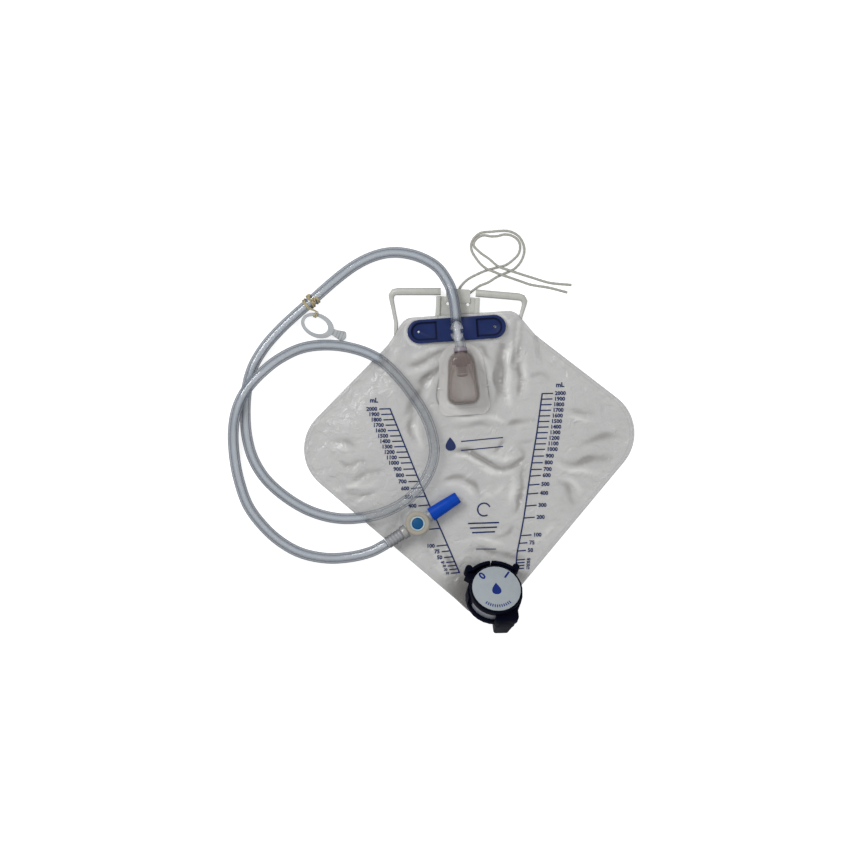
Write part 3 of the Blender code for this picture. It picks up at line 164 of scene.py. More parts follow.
def tube_grid(path, radius, columns=24):
    """A circle carried along the path: centre + radius (cos a side + sin a up). `radius` may differ by row and
    column."""
    _, side, up = along_path(path)
    angle = np.linspace(0.0, 2 * np.pi, columns, endpoint=False)[None, :, None]
    radius = np.broadcast_to(np.asarray(radius, float), (len(path), columns))[..., None]
    return path[:, None, :] + radius * (np.cos(angle) * side[:, None, :] + np.sin(angle) * up[:, None, :])


# %% [markdown]
# ## Helpers for materials
# Colours are written as sRGB hex, as a painter would pick them, and turned to linear light in one place. One small
# function adds a shader node. Most mouldings share a recipe: a faint clouding of the colour, and the fine grain that
# a moulding tool leaves on its skin.


# %% Material helpers
def linear(code):
    """sRGB hex to linear RGBA: c / 12.92 up to 0.04045, and ((c + 0.055) / 1.055) to the power 2.4 above it."""
    srgb = np.array([int(code[k:k + 2], 16) / 255 for k in (1, 3, 5)])
    value = np.where(srgb <= 0.04045, srgb / 12.92, ((srgb + 0.055) / 1.055) ** 2.4)
    return (*map(float, value), 1.0)


def feed(node, values=None, links=None):
    """Sets a node's inputs to constant values, or links them to outputs."""
    for name, value in (values or {}).items():
        node.inputs[name].default_value = value
    for name, output in (links or {}).items():
        node.id_data.links.new(output, node.inputs[name])
    return node


def add_node(tree, kind, values=None, links=None, **settings):
    """A shader node with its settings, the values of its inputs, and the outputs that feed its inputs."""
    made = tree.nodes.new("ShaderNode" + kind)
    for name, value in settings.items():
        setattr(made, name, value)
    return feed(made, values, links)


def blank_material(name):
    """A material whose tree holds only a Principled shader and its output."""
    made = bpy.data.materials.new(name)
    made.use_nodes = True
    return made, made.node_tree, made.node_tree.nodes["Principled BSDF"]


def skin(name, colour, shade, cloud, relief, bump, tints_and_painted_light=None):
    """A material clouded with `shade` by one noise and made uneven by another. Each colour of the last argument
    mixes in where the mesh's attribute of that name is above zero: on the front film, painted highlight and
    painted shade, with the weld line and a darker tip."""
    made, tree, shader = blank_material(name)
    place = add_node(tree, "TexCoord").outputs["Object"]
    clouding, height = (add_node(tree, "TexNoise", noise, {"Vector": place}).outputs["Fac"]
                        for noise in (cloud, relief))
    tone = add_node(tree, "Mix", {6: linear(colour), 7: linear(shade)}, {0: clouding}, data_type="RGBA").outputs[2]
    for attribute, tint_colour in (tints_and_painted_light or {}).items():
        share = add_node(tree, "Attribute", attribute_name=attribute).outputs["Fac"]
        tone = add_node(tree, "Mix", {7: linear(tint_colour)}, {0: share, 6: tone}, data_type="RGBA").outputs[2]
    normal = add_node(tree, "Bump", bump, {"Height": height}).outputs["Normal"]
    feed(shader, links={"Base Color": tone, "Normal": normal})
    return made, shader


def moulded(name, colour, shade, roughness, cloud_mm=6.0, grain_mm=0.8, grain_depth_mm=0.02, **sockets):
    """Injection moulded plastic: `colour` clouded with `shade` over `cloud_mm`, under the grain of the tool. The real
    grain is finer, and is drawn this coarse so that it shows."""
    made, shader = skin(name, colour, shade, {"Scale": 1 / (cloud_mm * MM), "Detail": 3.0},
                        {"Scale": 1 / (grain_mm * MM), "Detail": 2.0},
                        {"Strength": 0.6, "Distance": grain_depth_mm * MM})
    feed(shader, {"Roughness": roughness, **{socket.replace("_", " "): value for socket, value in sockets.items()}})
    return made


WELD_DISTANCE = 0.01 * MM
SHARP_ANGLE = math.radians(38.0)


def dress(node_name, material, edge_mm):
    """Gives a CAD node its finish: its loose triangles are welded, its sharp edges get a small round, and its normals
    are split where it is still sharp."""
    piece = nodes[node_name]
    for k in range(max(1, len(piece.material_slots))):
        if len(piece.material_slots) <= k:
            piece.data.materials.append(material)
        piece.material_slots[k].material = material
    piece.data.shade_smooth()
    weld = piece.modifiers.new("weld", "WELD")
    weld.merge_threshold = WELD_DISTANCE
    if edge_mm:
        edge = piece.modifiers.new("edge", "BEVEL")
        edge.width = edge_mm * MM
        edge.segments = 2
        edge.limit_method = "ANGLE"
        edge.angle_limit = SHARP_ANGLE
    split = piece.modifiers.new("split", "EDGE_SPLIT")
    split.split_angle = SHARP_ANGLE


# %% [markdown]
# ## Drain tube
# The real tube is extruded soft PVC, 11.1 mm outside and 7.1 mm inside, tinted by its thickness. A curve with a bevel
# would give the outside only. Here the outside and the bore are one closed wall, so that the eye looks through the wall
# twice, as through the real one, and its edges look darker. Its route is the CAD tube's.

# %% Drain tube
def route_points(route, lie):
    """The places of a route in metres, with the height `lie` where it is left out."""
    return np.array([(*place, lie)[:3] for place in route]) * MM


TABLE_ROOM = 0.15 * MM
TUBE_DIAMETER = 11.1 * MM
BORE = 7.1 * MM
INLET_FACE = (-0.0018, 0.1163, 0.0176)
INLET_LEAD = (-0.0018, 0.1203, 0.0176)
TUBE_LIE, STRING_LIE = 5.6, 1.1
# A route's places are x, y and height in mm. Where the height is left out, the tube or string lies on the table.
TUBE_ROUTE = [
    (-3.4, 129, 16), (-4.2, 137, 14.3), (-4.2, 147, 13.8), (-4.6, 158, 13.2), (-6, 170, 12), (-9, 181.5, 10),
    (-18.5, 198, 7), (-33, 209, 5.7), (-50, 215.5), (-67, 217.5), (-85, 214.5), (-103, 207), (-119, 197, 6.2),
    (-134, 186, 8), (-150, 173.5, 8.8), (-168, 160, 7.8), (-185, 146, 6.1), (-201, 130), (-214, 111), (-221.5, 90),
    (-225, 66), (-225, 41), (-220, 17), (-208, -5), (-188, -25), (-165, -40, 5.7), (-140, -48.5, 6.6),
    (-115, -50, 8.4), (-91, -46, 10.1), (-69, -36.5, 10.6), (-52, -22.5, 10.8), (-41, -6, 11), (-35.5, 12, 11.4),
    (-37, 32, 12), (-43.5, 52, 12), (-55, 73, 12), (-69, 93, 11.8), (-86, 110.5, 9.2), (-108, 121.8, 6.2),
    (-134, 127.7, 6), (-161, 127, 8.2), (-185, 118, 12.8), (-205.5, 104, 16.8), (-222, 88, 17.5), (-233, 69, 16),
    (-238.5, 46, 10), (-239, 20, 6), (-236, -4), (-229, -29), (-216, -50), (-199, -68), (-178, -81.5),
    (-153, -88.5, 6), (-129, -89, 7.8), (-108, -85.5, 10.4),
]
END_TURN = math.radians(29.0)
END_DIRECTION = np.array([math.cos(END_TURN), math.sin(END_TURN), 0.0])
FERRULE_FACE = np.array([-0.0901, -0.0776, 0.01145])

tube_path = smooth_route([INLET_FACE, INLET_LEAD, *route_points(TUBE_ROUTE, TUBE_LIE),
                          FERRULE_FACE - 4.0 * MM * END_DIRECTION, FERRULE_FACE], 2.5 * MM)
tube_path[:, 2] = np.maximum(tube_path[:, 2], TUBE_DIAMETER / 2 + TABLE_ROOM)
outside = tube_grid(tube_path, TUBE_DIAMETER / 2, 28)
inside = tube_grid(tube_path, BORE / 2, 28)[::-1]
drain_tube = surface("drain_tube_wall", np.concatenate([outside, inside]), wrap=True)

# %% [markdown]
# ## Tie string
# Two strands of twisted white cord, 2.7 mm thick. Each is two plies twisted round each other, so the section is
# a circle with two shallow grooves that turn along the length.

# %% Tie string
STRING_DIAMETER = 2.7 * MM
STRING_TWIST = 9.0 * MM
STRING_SPACING = 0.5 * MM
STRING_INNER_ROUTE = [
    (0.4, 173.8), (3.8, 179), (10.8, 185), (21.4, 189.7), (30.3, 192.7), (40.6, 194.8), (50.2, 196.7), (58.1, 201.5),
    (64, 207.2), (66.1, 214.2), (65.2, 219.5), (62, 223.8), (57, 226.8), (50.7, 227.9), (44, 226.8), (37, 227),
    (29.2, 228.5), (22.2, 225.3, 1.3), (19, 219, 2), (25.6, 210.8, 3.4), (33.7, 204.2, 4.1), (42.3, 196, 4.2),
    (53.9, 190.9, 4.2), (66.2, 185.9, 3.2), (77.1, 181.7, 1.6), (87.7, 177.5), (96.9, 174.8), (115.8, 171.8),
]
STRING_OUTER_ROUTE = [
    (11.2, 170.4), (14.2, 172.6), (18, 175), (22.8, 177.7), (31, 180.3), (40, 185), (47.9, 187.9), (55.7, 190.8),
    (61.2, 194.1), (66, 199.4), (69.3, 206), (70.3, 211.9), (69.2, 218.1), (65.8, 224.6), (60.5, 229), (54, 231.4),
    (46.7, 231.9), (38.2, 231.7), (30, 231.7), (24.5, 230), (19, 225.2), (16.4, 219, 1.4), (16.8, 213, 2.4),
    (20, 206.5, 3.6), (24.7, 199.5, 4.2), (30.8, 194, 4.2), (37, 191, 4.2), (45.2, 187.1, 4.2), (55.1, 183, 3.6),
    (65, 178.8, 2), (74.9, 174.8), (91.5, 170.9), (101.5, 167.7), (111, 164.4),
]


def twisted_string(name, route):
    """A two-ply cord: radius R (0.95 + 0.05 cos(2 a - 4 pi s / twist)), at angle a round it and length s along it."""
    path = smooth_route(route_points(route, STRING_LIE), STRING_SPACING)
    path[:, 2] = np.maximum(path[:, 2], STRING_DIAMETER / 2 + TABLE_ROOM)
    columns = 12
    angle = np.linspace(0.0, 2 * np.pi, columns, endpoint=False)
    run = STRING_SPACING * np.arange(len(path))[:, None]
    radius = STRING_DIAMETER / 2 * (0.95 + 0.05 * np.cos(2 * angle - 4 * np.pi * run / STRING_TWIST))
    made = surface(name, tube_grid(path, radius, columns), start=path[0], end=path[-1])
    return made, path


string_inner, inner_path = twisted_string("tie_string_inner_cord", STRING_INNER_ROUTE)
string_outer, outer_path = twisted_string("tie_string_outer_cord", STRING_OUTER_ROUTE)
print("strings", len(inner_path), len(outer_path), "rows")

# %% [markdown]
# ## Films
# The bag is two sheets of 0.4 mm PVC film welded round the edge. The outline is a kite with round corners. The front
# film is a polar grid: rings from the middle to the edge. Its height is the CAD film's, plus folds. Each fold is a
# soft ridge along a curve drawn from the photograph, and finer puckers run in from the weld, where the two films
# have shrunk by different amounts.

# %% Film outline
FILM = 0.4 * MM
GAP = 0.3 * MM
FILM_LOW = 3.4 * MM
FILM_HIGH = 5.2 * MM
FILM_CENTRE = np.array([0.0, 0.010])
# X, y and radius of each corner in mm.
CORNERS = [(56, 150, 14), (75, 124, 40), (189.5, 22.4, 46), (36, -138, 20), (21, -154, 10),
           (-11, -154, 10), (-26, -138, 20), (-189.5, 22.4, 46), (-75, 124, 40), (-56, 150, 14)]
OUTLINE_POINTS = 500


def rounded_outline(corners, count):
    """Evenly spaced points round a polygon whose corners are arcs. An arc's centre lies on the corner's bisector, at
    the radius divided by the sine of half the inner angle."""
    places, arcs = corners[:, :2], []
    for k, radius in enumerate(corners[:, 2]):
        back, ahead = places[k - 1] - places[k], places[(k + 1) % len(places)] - places[k]
        back, ahead = back / np.linalg.norm(back), ahead / np.linalg.norm(ahead)
        half = math.acos(float(back @ ahead)) / 2
        middle = (back + ahead) / np.linalg.norm(back + ahead)
        centre = places[k] + middle * radius / math.sin(half)
        first, last = (places[k] + side * radius / math.tan(half) - centre for side in (back, ahead))
        begin, stop = math.atan2(first[1], first[0]), math.atan2(last[1], last[0])
        sweep = (stop - begin + math.pi) % (2 * math.pi) - math.pi
        angle = begin + sweep * np.linspace(0.0, 1.0, 24)
        arcs.append(centre + radius * np.stack([np.cos(angle), np.sin(angle)], axis=1))
    loop = np.concatenate([*arcs, arcs[0][:1]])
    run = np.concatenate([[0.0], np.cumsum(np.linalg.norm(np.diff(loop, axis=0), axis=1))])
    at = np.linspace(0.0, run[-1], count, endpoint=False)
    return np.stack([np.interp(at, run, loop[:, k]) for k in range(2)], axis=1)


outline = rounded_outline(np.array(CORNERS) * MM, OUTLINE_POINTS)
print("film", np.round(outline.min(axis=0), 3), np.round(outline.max(axis=0), 3))

# %% Folds
# Each fold: its half width and height in mm, then the picture's places along its crest. Below zero it is a valley.
FOLDS = [
    (3.2, -1.7, 455, 347, 441, 350, 434, 355, 428, 360, 418, 364, 408, 364), (3.6, 1.4, 447, 345, 428, 352, 413, 357),
    (3.2, -1.5, 442, 363, 434, 371, 423, 380, 414, 385), (3.6, 1.4, 441, 357, 430, 366, 420, 372, 408, 374),
    (3, -1.5, 471, 341, 483, 347, 486, 355, 491, 361), (3.6, -1.4, 494, 368, 496, 379, 497, 392, 494, 404),
    (3.2, 1.3, 476, 345, 480, 352, 486, 365, 490, 377, 493, 392), (5, -1.9, 502, 342, 499, 362, 500, 380, 503, 398),
    (3.6, 2, 513, 337, 509, 362, 508, 388, 509, 408), (3.4, -1.8, 518, 342, 516, 358, 519, 374, 520, 396),
    (4, 1.2, 524, 352, 525, 372, 527, 396), (3.2, -0.9, 529, 377, 541, 374, 552, 380),
    (3.4, -1.1, 571, 409, 581, 413, 593, 414), (4, 0.9, 568, 416, 582, 420, 598, 420),
    (4, -1.1, 576, 448, 595, 439, 614, 435, 626, 437), (4.2, -1.5, 558, 460, 575, 464, 594, 458, 614, 460),
    (4, 1.4, 556, 465, 575, 471, 594, 472, 606, 470), (3.6, -1.2, 556, 481, 566, 486, 571, 499, 578, 510),
    (4, 1, 560, 478, 574, 484, 582, 497), (3.6, 1.4, 450, 422, 469, 418, 491, 418, 500, 421, 507, 427),
    (3, -0.9, 453, 428, 478, 424, 496, 427), (3.4, -1.1, 500, 428, 518, 422, 536, 420),
    (2.8, -1.1, 492, 454, 499, 448, 504, 441), (3, -0.8, 518, 443, 531, 441),
    (3.2, -2.1, 449, 450, 466, 451, 474, 454, 483, 458, 494, 466, 504, 468, 513, 466, 522, 459, 524, 454, 519, 447),
    (3.4, 1.8, 452, 457, 468, 458, 478, 463, 489, 471, 503, 473, 515, 471),
    (3.4, 1.3, 478, 448, 492, 458, 505, 460, 514, 456), (3.2, -1.5, 442, 480, 460, 477, 469, 480, 477, 487, 480, 496),
    (3.4, 1.3, 444, 486, 459, 484, 468, 489, 473, 497), (3, -1.7, 523, 469, 521, 488, 518, 506, 514, 512),
    (3.8, 1.2, 515, 476, 513, 492, 509, 506), (3.6, 1.1, 481, 491, 494, 494, 503, 486),
    (3, -1.2, 494, 536, 506, 534, 514, 527), (3.4, 1.2, 460, 543, 474, 540, 494, 542, 510, 547),
    (3, -1.6, 466, 551, 482, 548, 498, 553, 514, 556, 528, 558), (4, 1, 527, 548, 540, 540, 556, 522),
    (4, -0.8, 310, 438, 319, 429, 332, 419), (3.4, -1, 331, 441, 343, 441, 354, 446),
    (3.6, 0.9, 328, 450, 342, 449, 352, 454), (3, -1.1, 340, 462, 348, 465, 361, 461, 367, 465),
    (3.6, -1, 353, 482, 367, 473, 383, 471), (3.6, -1.1, 343, 493, 359, 495, 375, 492),
    (3.6, 1, 345, 487, 361, 488, 378, 483), (3.2, -1.2, 414, 408, 411, 419, 410, 430, 414, 442),
    (3.8, 1.3, 420, 404, 418, 418, 419, 436, 424, 452), (4, 1, 398, 348, 392, 362, 384, 372),
    (3.6, 1, 424, 512, 412, 524, 404, 538), (3.2, -1.5, 446, 552, 452, 566, 460, 580),
    (3.6, 1.2, 432, 548, 440, 562, 448, 574), (3, 1.2, 455, 590, 458, 578, 456, 566),
    (2.8, -1.5, 403, 551, 412, 560, 424, 565, 434, 572), (3, 1.1, 398, 545, 409, 553, 420, 558),
    (2.8, -1.6, 420, 571, 432, 578, 443, 589, 451, 600), (3.2, 1.3, 428, 564, 438, 571, 447, 583),
    (2.6, -1.3, 444, 597, 454, 605, 462, 611), (3.6, -1.2, 436, 366, 424, 383, 413, 400, 404, 416),
    (3.2, 0.9, 440, 372, 430, 390, 422, 404),
]


def crest_line(places):
    """A smooth line on the film through places of the picture, given as x, y, x, y and so on."""
    line = from_photo(*np.reshape(places, (-1, 2)).astype(float).T)
    return smooth_route(np.concatenate([line, np.zeros((len(line), 1))], axis=1), 1.5 * MM)


def apart(x, y, line):
    """The distance of every place from every point of a line, seen from above."""
    return np.hypot(x[..., None] - line[:, 0], y[..., None] - line[:, 1])


def fold_height(x, y):
    """The sum of the folds. Each is height x exp(-(d / width) squared) at the distance d from its crest line, and
    fades out towards the line's two ends. Sines push the lines sideways a little and make the height uneven."""
    total = np.zeros_like(x)
    x, y = x + 0.7 * MM * np.sin(y / (4.6 * MM) + x / (9 * MM)), y + 0.7 * MM * np.sin(x / (5.2 * MM) - y / (8 * MM))
    for width, height, *places in FOLDS:
        crest = crest_line(places)
        distance = apart(x, y, crest)
        nearest = distance.argmin(axis=-1)
        fade = np.sin(np.pi * np.clip((nearest + 0.8) / (len(crest) + 0.6), 0.0, 1.0)) ** 0.5
        total += height * MM * fade * np.exp(-((distance.min(axis=-1) / (width * MM)) ** 2))
    return total * (0.95 + 0.25 * np.sin(x / (5.3 * MM) + 1.7 * np.sin(y / (6.1 * MM))))


def ripple(x, y):
    """Soft waves a few centimetres long: sines of a place that other sines have first pushed sideways."""
    u = x / 0.023 + 1.3 * np.sin(y / 0.019) + 0.6 * np.sin((x + y) / 0.011)
    v = y / 0.021 + 1.2 * np.sin(x / 0.027 + 1.0) + 0.5 * np.sin((x - y) / 0.013)
    return 0.30 * MM * (np.sin(u) * np.cos(v) + 0.4 * np.sin(2.3 * u + 1.1 * v))


CAP_TRAVEL = 45 * MM
VALVE_FOOT = np.array([14.0, -133.0]) * MM
FILM_TIP = np.array([-4.0, -140.0]) * MM


def clear_of(x, y, low, high, margin):
    """0 within a box and 1 from `margin` outside it."""
    past = (np.maximum(np.maximum(low[k] - place, place - high[k]), 0) for k, place in enumerate((x, y)))
    return ease(np.hypot(*past) / margin)


def film_top(x, y, share):
    """Top of the front film. The base follows the CAD film; folds are held down under the rigid pieces, the tube and
    the way that the cap takes as it is pulled off."""
    rise = FILM_LOW + (FILM_HIGH - FILM_LOW) * ease((y + 0.005) / 0.050)
    inner = ease((0.97 - share) / 0.25)
    over_hanger = ease((y - 0.085) / 0.020) * (1 - ease((np.abs(x) - 0.071) / 0.010))
    lifted = 1 - (1 - inner) * (1 - over_hanger)
    flat = ease((np.hypot(x - VALVE_FOOT[0], y - VALVE_FOOT[1]) - 0.050) / 0.040)
    base = FILM + GAP + (rise - FILM - GAP) * lifted * flat + FILM
    near_tube = apart(x, y, tube_path[::6]).min(axis=-1)
    loose = ease((0.965 - share) / 0.10) * (0.25 + 0.75 * ease((near_tube - 0.007) / 0.012))
    for name, margin in (("hanger_bar", 0.010), ("chamber_flange", 0.008), ("protective_cap", 0.006)):
        low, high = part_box(name)
        if name == "protective_cap":
            high = high[0] + CAP_TRAVEL * END_DIRECTION[0], high[1] + CAP_TRAVEL * END_DIRECTION[1]
        loose = loose * clear_of(x, y, low, high, margin)
    fine = fold_height(x, y) + ripple(x, y)
    return np.maximum(base + loose * fine, 2 * FILM + 2 * GAP)


def thicken(film, thickness, offset):
    """Gives a film its thickness: below its surface if the offset is -1, and above it if the offset is 1."""
    wall = film.modifiers.new("film", "SOLIDIFY")
    wall.thickness, wall.offset = thickness, offset


def band(distance, middle_mm, half_mm):
    """1 where the distance is `middle_mm`, falling off on both sides."""
    return np.exp(-(((distance / MM - middle_mm) / half_mm) ** 2))


# %% Front film
shares = np.concatenate([np.linspace(0.015, 0.90, 74), np.linspace(0.905, 1.0, 15)])
along = np.linspace(0.0, 2 * np.pi, OUTLINE_POINTS, endpoint=False)
pucker = np.sin(61 * along + 2.0 * np.sin(5 * along)) * np.sin(23 * along + 1.0)
plan = FILM_CENTRE + shares[:, None, None] * (outline - FILM_CENTRE)
top = film_top(plan[..., 0], plan[..., 1], shares[:, None] * np.ones(OUTLINE_POINTS))
by_edge = ease((shares - 0.78) / 0.14) * ease((0.975 - shares) / 0.02)
top += 0.35 * MM * by_edge[:, None] * pucker * ease((np.abs(plan[..., 0]) - 0.06) / 0.02)
grid = np.concatenate([plan, top[..., None]], axis=-1)
middle = (*FILM_CENTRE, float(film_top(FILM_CENTRE[:1], FILM_CENTRE[1:], np.zeros(1))[0]))
front_film = surface("front_film_sheet", grid, start=middle, face_up=True)
thicken(front_film, FILM, -1.0)
every = np.ones(OUTLINE_POINTS)
folds = fold_height(plan[..., 0], plan[..., 1]) * ease((0.96 - shares) / 0.08)[:, None]
by_valve = 1 - ease((np.hypot(*np.moveaxis(plan - FILM_TIP, -1, 0)) - 0.014) / 0.034)
FLANGE_EDGE = [452, 356, 447, 372, 443, 390, 443, 399, 449, 407, 461, 410, 476, 408, 482, 401, 481, 385, 476, 370,
               471, 356]
LOOP_LEG = [519, 322, 516.5, 345, 515.5, 366]
flange_at, leg_at = (apart(plan[..., 0], plan[..., 1], crest_line(places)).min(axis=-1)
                     for places in (FLANGE_EDGE, LOOP_LEG))
bar_low, bar_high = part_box("hanger_bar")
bar_away = np.hypot(np.maximum(np.maximum(bar_low[0] + 0.012 - plan[..., 0], plan[..., 0] - bar_high[0] + 0.012), 0),
                    plan[..., 1] - (bar_low[1] + bar_high[1]) / 2) - 0.0125
by_weld = 0.18 * np.exp(-(((shares - 0.972) / 0.004) ** 2)) + 0.9 * ease((shares - 0.990) / 0.008)
# rim: a pale band round the bar and the flange, and a painted highlight over the hanger's leg under the film. line: a
# dark line round the flange, and painted shade along both sides of the leg.
rim = np.maximum(band(flange_at, 1.6, 1.5), np.maximum(band(bar_away, 1.6, 1.5), 0.4 * band(leg_at, 0.0, 1.6)))
line = np.maximum(band(flange_at, 6.0, 0.7), 0.26 * band(leg_at, 3.6, 1.8))
# Tones of the front film: a painted highlight on the folds' crests and painted shade in their valleys, the weld line,
# and a darker tip by the valve.
tones = {
    "weld": np.maximum(by_weld[:, None] * every, 0.9 * line),
    "crest": np.maximum(0.62 * ease(folds / (1.5 * MM)), 0.8 * rim),
    "painted_fold_shade": 0.60 * ease(-folds / (1.5 * MM)),
    "tip": 0.80 * by_valve,
}
for tone, value in tones.items():
    layer = front_film.data.attributes.new(tone, "FLOAT", "POINT")
    layer.data.foreach_set("value", np.append(value.ravel(), 0.0).astype(np.float32))
print("front film", len(front_film.data.vertices), "points, top", round(float(top.max()) * 1000, 2), "mm")

# %% Back film
BACK_LIFT = 0.02 * MM
under = np.concatenate([plan, (BACK_LIFT + 0 * top)[..., None]], axis=-1)[::3, ::2]
back_film = surface("back_film_sheet", under, start=(*FILM_CENTRE, BACK_LIFT), face_up=True)
thicken(back_film, FILM - BACK_LIFT, 1.0)
print("back film", len(back_film.data.vertices), "points")

# %% [markdown]
# ## Print on the front film
# The two scales are screen printed in navy ink. Each is a slanted line with a tick for every 100 ml, and a number
# beside it. The bag narrows to its tip, so the level rises about as the square root of the volume, and the ticks
# crowd towards the top. The ink is laid on the film: each vertex takes its height from the film below it.

# %% Ink helpers
INK_LIFT = 0.25 * MM
LETTER_WEIGHT = 0.04


def share_of(x, y):
    """How far a place is from the film's middle to its edge: its distance over the outline's in that direction."""
    spin = np.unwrap(np.arctan2(outline[:, 1] - FILM_CENTRE[1], outline[:, 0] - FILM_CENTRE[0]))
    reach = np.hypot(*(outline - FILM_CENTRE).T)
    order = np.argsort(spin % (2 * np.pi))
    here = np.arctan2(y - FILM_CENTRE[1], x - FILM_CENTRE[0]) % (2 * np.pi)
    edge = np.interp(here, (spin % (2 * np.pi))[order], reach[order], period=2 * np.pi)
    return np.hypot(x - FILM_CENTRE[0], y - FILM_CENTRE[1]) / edge


def points_of(mesh):
    """A mesh's points, one to a row."""
    points = np.empty(len(mesh.vertices) * 3)
    mesh.vertices.foreach_get("co", points)
    return points.reshape(-1, 3)


def lay_on_film(mesh):
    """Lifts every vertex of a flat mesh to just above the film."""
    points = points_of(mesh)
    x, y = points[:, 0], points[:, 1]
    points[:, 2] = film_top(x, y, share_of(x, y)) + INK_LIFT + points[:, 2]
    mesh.vertices.foreach_set("co", points.ravel())
    mesh.update()


def stroke(start, end, width):
    """A straight inked line between two photo places, as a strip of quads short enough to follow the film."""
    a, b = from_photo(*start), from_photo(*end)
    length = float(np.linalg.norm(b - a))
    across = np.array([a[1] - b[1], b[0] - a[0]]) / length * width / 2
    at = np.linspace(0.0, 1.0, max(2, round(length / (2.0 * MM)) + 1))[:, None]
    line = a + (b - a) * at
    return np.stack([line - across, line + across], axis=1)


def flat_mesh(name, strips, lift=0.0):
    """One flat mesh of strips of quads, each strip a row of point pairs. A quad whose diagonals' cross product is below
    zero is turned round, so that every face looks up."""
    points = np.concatenate([strip.reshape(-1, 2) for strip in strips])
    starts = np.cumsum([0] + [2 * len(strip) for strip in strips])
    rows = np.concatenate([start + 2 * np.arange(len(strip) - 1) for start, strip in zip(starts, strips)])
    faces = rows[:, None] + np.array([0, 1, 3, 2])
    one, two = points[faces[:, 2]] - points[faces[:, 0]], points[faces[:, 3]] - points[faces[:, 1]]
    under = one[:, 0] * two[:, 1] < one[:, 1] * two[:, 0]
    faces[under] = faces[under][:, ::-1]
    mesh = bpy.data.meshes.new(name)
    mesh.from_pydata(np.concatenate([points, np.full((len(points), 1), lift)], axis=1).tolist(), [], faces.tolist())
    return placed(name, mesh)


def ink(name, strips):
    """Printed strips, laid on the film."""
    made = flat_mesh(name, strips)
    lay_on_film(made.data)
    return made


def mesh_of(name, curve):
    """The mesh that a text or a curve with a bevel makes."""
    guide = placed(name, curve)
    bpy.context.view_layer.update()
    mesh = bpy.data.meshes.new_from_object(guide.evaluated_get(bpy.context.evaluated_depsgraph_get()))
    bpy.data.objects.remove(guide, do_unlink=True)
    return mesh


def flat_numbers(name, labels, align="CENTER"):
    """Printed numbers as one flat mesh: each label's outline at its size, turned and moved to its place."""
    shape = bmesh.new()
    for text, place, turn, size in labels:
        curve = bpy.data.curves.new(name, "FONT")
        curve.body, curve.size, curve.align_x, curve.align_y = text, size, align, "CENTER"
        curve.resolution_u = 2
        curve.offset = LETTER_WEIGHT * size
        mesh = mesh_of(name, curve)
        mesh.transform(Matrix.Translation((*place, 0.0)) @ Matrix.Rotation(turn, 4, "Z"))
        shape.from_mesh(mesh)
    joined = bpy.data.meshes.new(name)
    shape.to_mesh(joined)
    shape.free()
    return placed(name, joined)


def numbers(name, labels, align="CENTER"):
    """Printed numbers at their photo places, level in the picture and laid on the film."""
    made = flat_numbers(name, [(text, from_photo(*place), -PHOTO_TURN, size) for text, place, size in labels], align)
    lay_on_film(made.data)
    return made


# %% Scales
VOLUMES = [*range(2000, 0, -100), 75, 50, 40, 30, 20, 10]
KNOWN_VOLUMES = [2000, 1000, 600, 400, 200, 100, 50, 40, 10]
LEFT_LEVELS = [408.8, 462.7, 487.5, 504.8, 528.2, 544.9, 556.7, 561.6, 572.4]
RIGHT_LEVELS = [393.7, 449.6, 476.2, 494.0, 518.0, 535.7, 551.0, 560.0, 568.8]
LEFT_LINE = [(389.9, 408.3), (418.6, 479.4), (428.7, 503.6), (437.0, 520.8), (446.5, 542.5), (459.6, 573.0)]
RIGHT_LINE = [(542.1, 393.3), (536.9, 431.9), (530.7, 469.2), (524.0, 516.5), (520.7, 534.7), (517.2, 552.0),
              (515.6, 569.2)]
INK_WIDTH = 1.25 * MM
NUMBER_SIZE = 5.5 * MM


def scale(name, line, levels, side, tilt):
    """A scale's line and ticks. A volume's level is read off between the levels of the volumes that are known."""
    line = np.array(line)
    strips, labels = [stroke(a, b, 1.15 * INK_WIDTH) for a, b in zip(line, line[1:])], []
    for volume in VOLUMES:
        level = float(np.interp(-volume, [-v for v in KNOWN_VOLUMES], levels))
        if level > line[-1, 1]:
            continue
        x = float(np.interp(level, line[:, 1], line[:, 0]))
        length = 11.0 if volume > 75 else 8.5
        away = side * length, tilt * length * (1.0 if volume < 700 else 0.3)
        strips.append(stroke((x, level), (x + away[0], level + away[1]), INK_WIDTH))
        size = NUMBER_SIZE if volume >= 50 else 0.66 * NUMBER_SIZE
        labels.append((str(volume), (x + away[0] + side * 1.8, level + away[1]), size))
    return ink(name + "_lines", strips), numbers(name + "_numbers", labels, "RIGHT" if side < 0 else "LEFT")


left_lines, left_numbers = scale("left_scale", LEFT_LINE, LEFT_LEVELS, -1, 0.10)
right_lines, right_numbers = scale("right_scale", RIGHT_LINE, RIGHT_LEVELS, 1, -0.08)
units = numbers("scale_units", [("mL", (374.0, 400.5), 1.2 * NUMBER_SIZE), ("mL", (560.0, 385.0), 1.2 * NUMBER_SIZE)])
print("scales", len(left_lines.data.polygons) + len(right_lines.data.polygons), "quads")

# %% [markdown]
# The middle of the film has plain marks only: a drop beside two lines to write on, and a small open ring over three
# lines.


# %% Plain marks
def drop_outline(centre, height, count=40):
    """A drop: a circle whose width is multiplied by sin(a / 2), so that it comes to a point at the top."""
    a = np.linspace(0.0, 2 * np.pi, count, endpoint=False)
    x = 0.5 * height * np.sin(a) * np.sin(a / 2) ** 1.2
    y = 0.5 * height * np.cos(a)
    return np.stack([x + centre[0], y + centre[1]], axis=1)


def arc_strip(centre, radius, begin, stop, width, count=24):
    """A strip of quads round part of a circle, in degrees."""
    a = np.radians(np.linspace(begin, stop, count))[:, None]
    ring = np.concatenate([np.cos(a), np.sin(a)], axis=1)
    return np.stack([centre + ring * (radius - width / 2), centre + ring * (radius + width / 2)], axis=1)


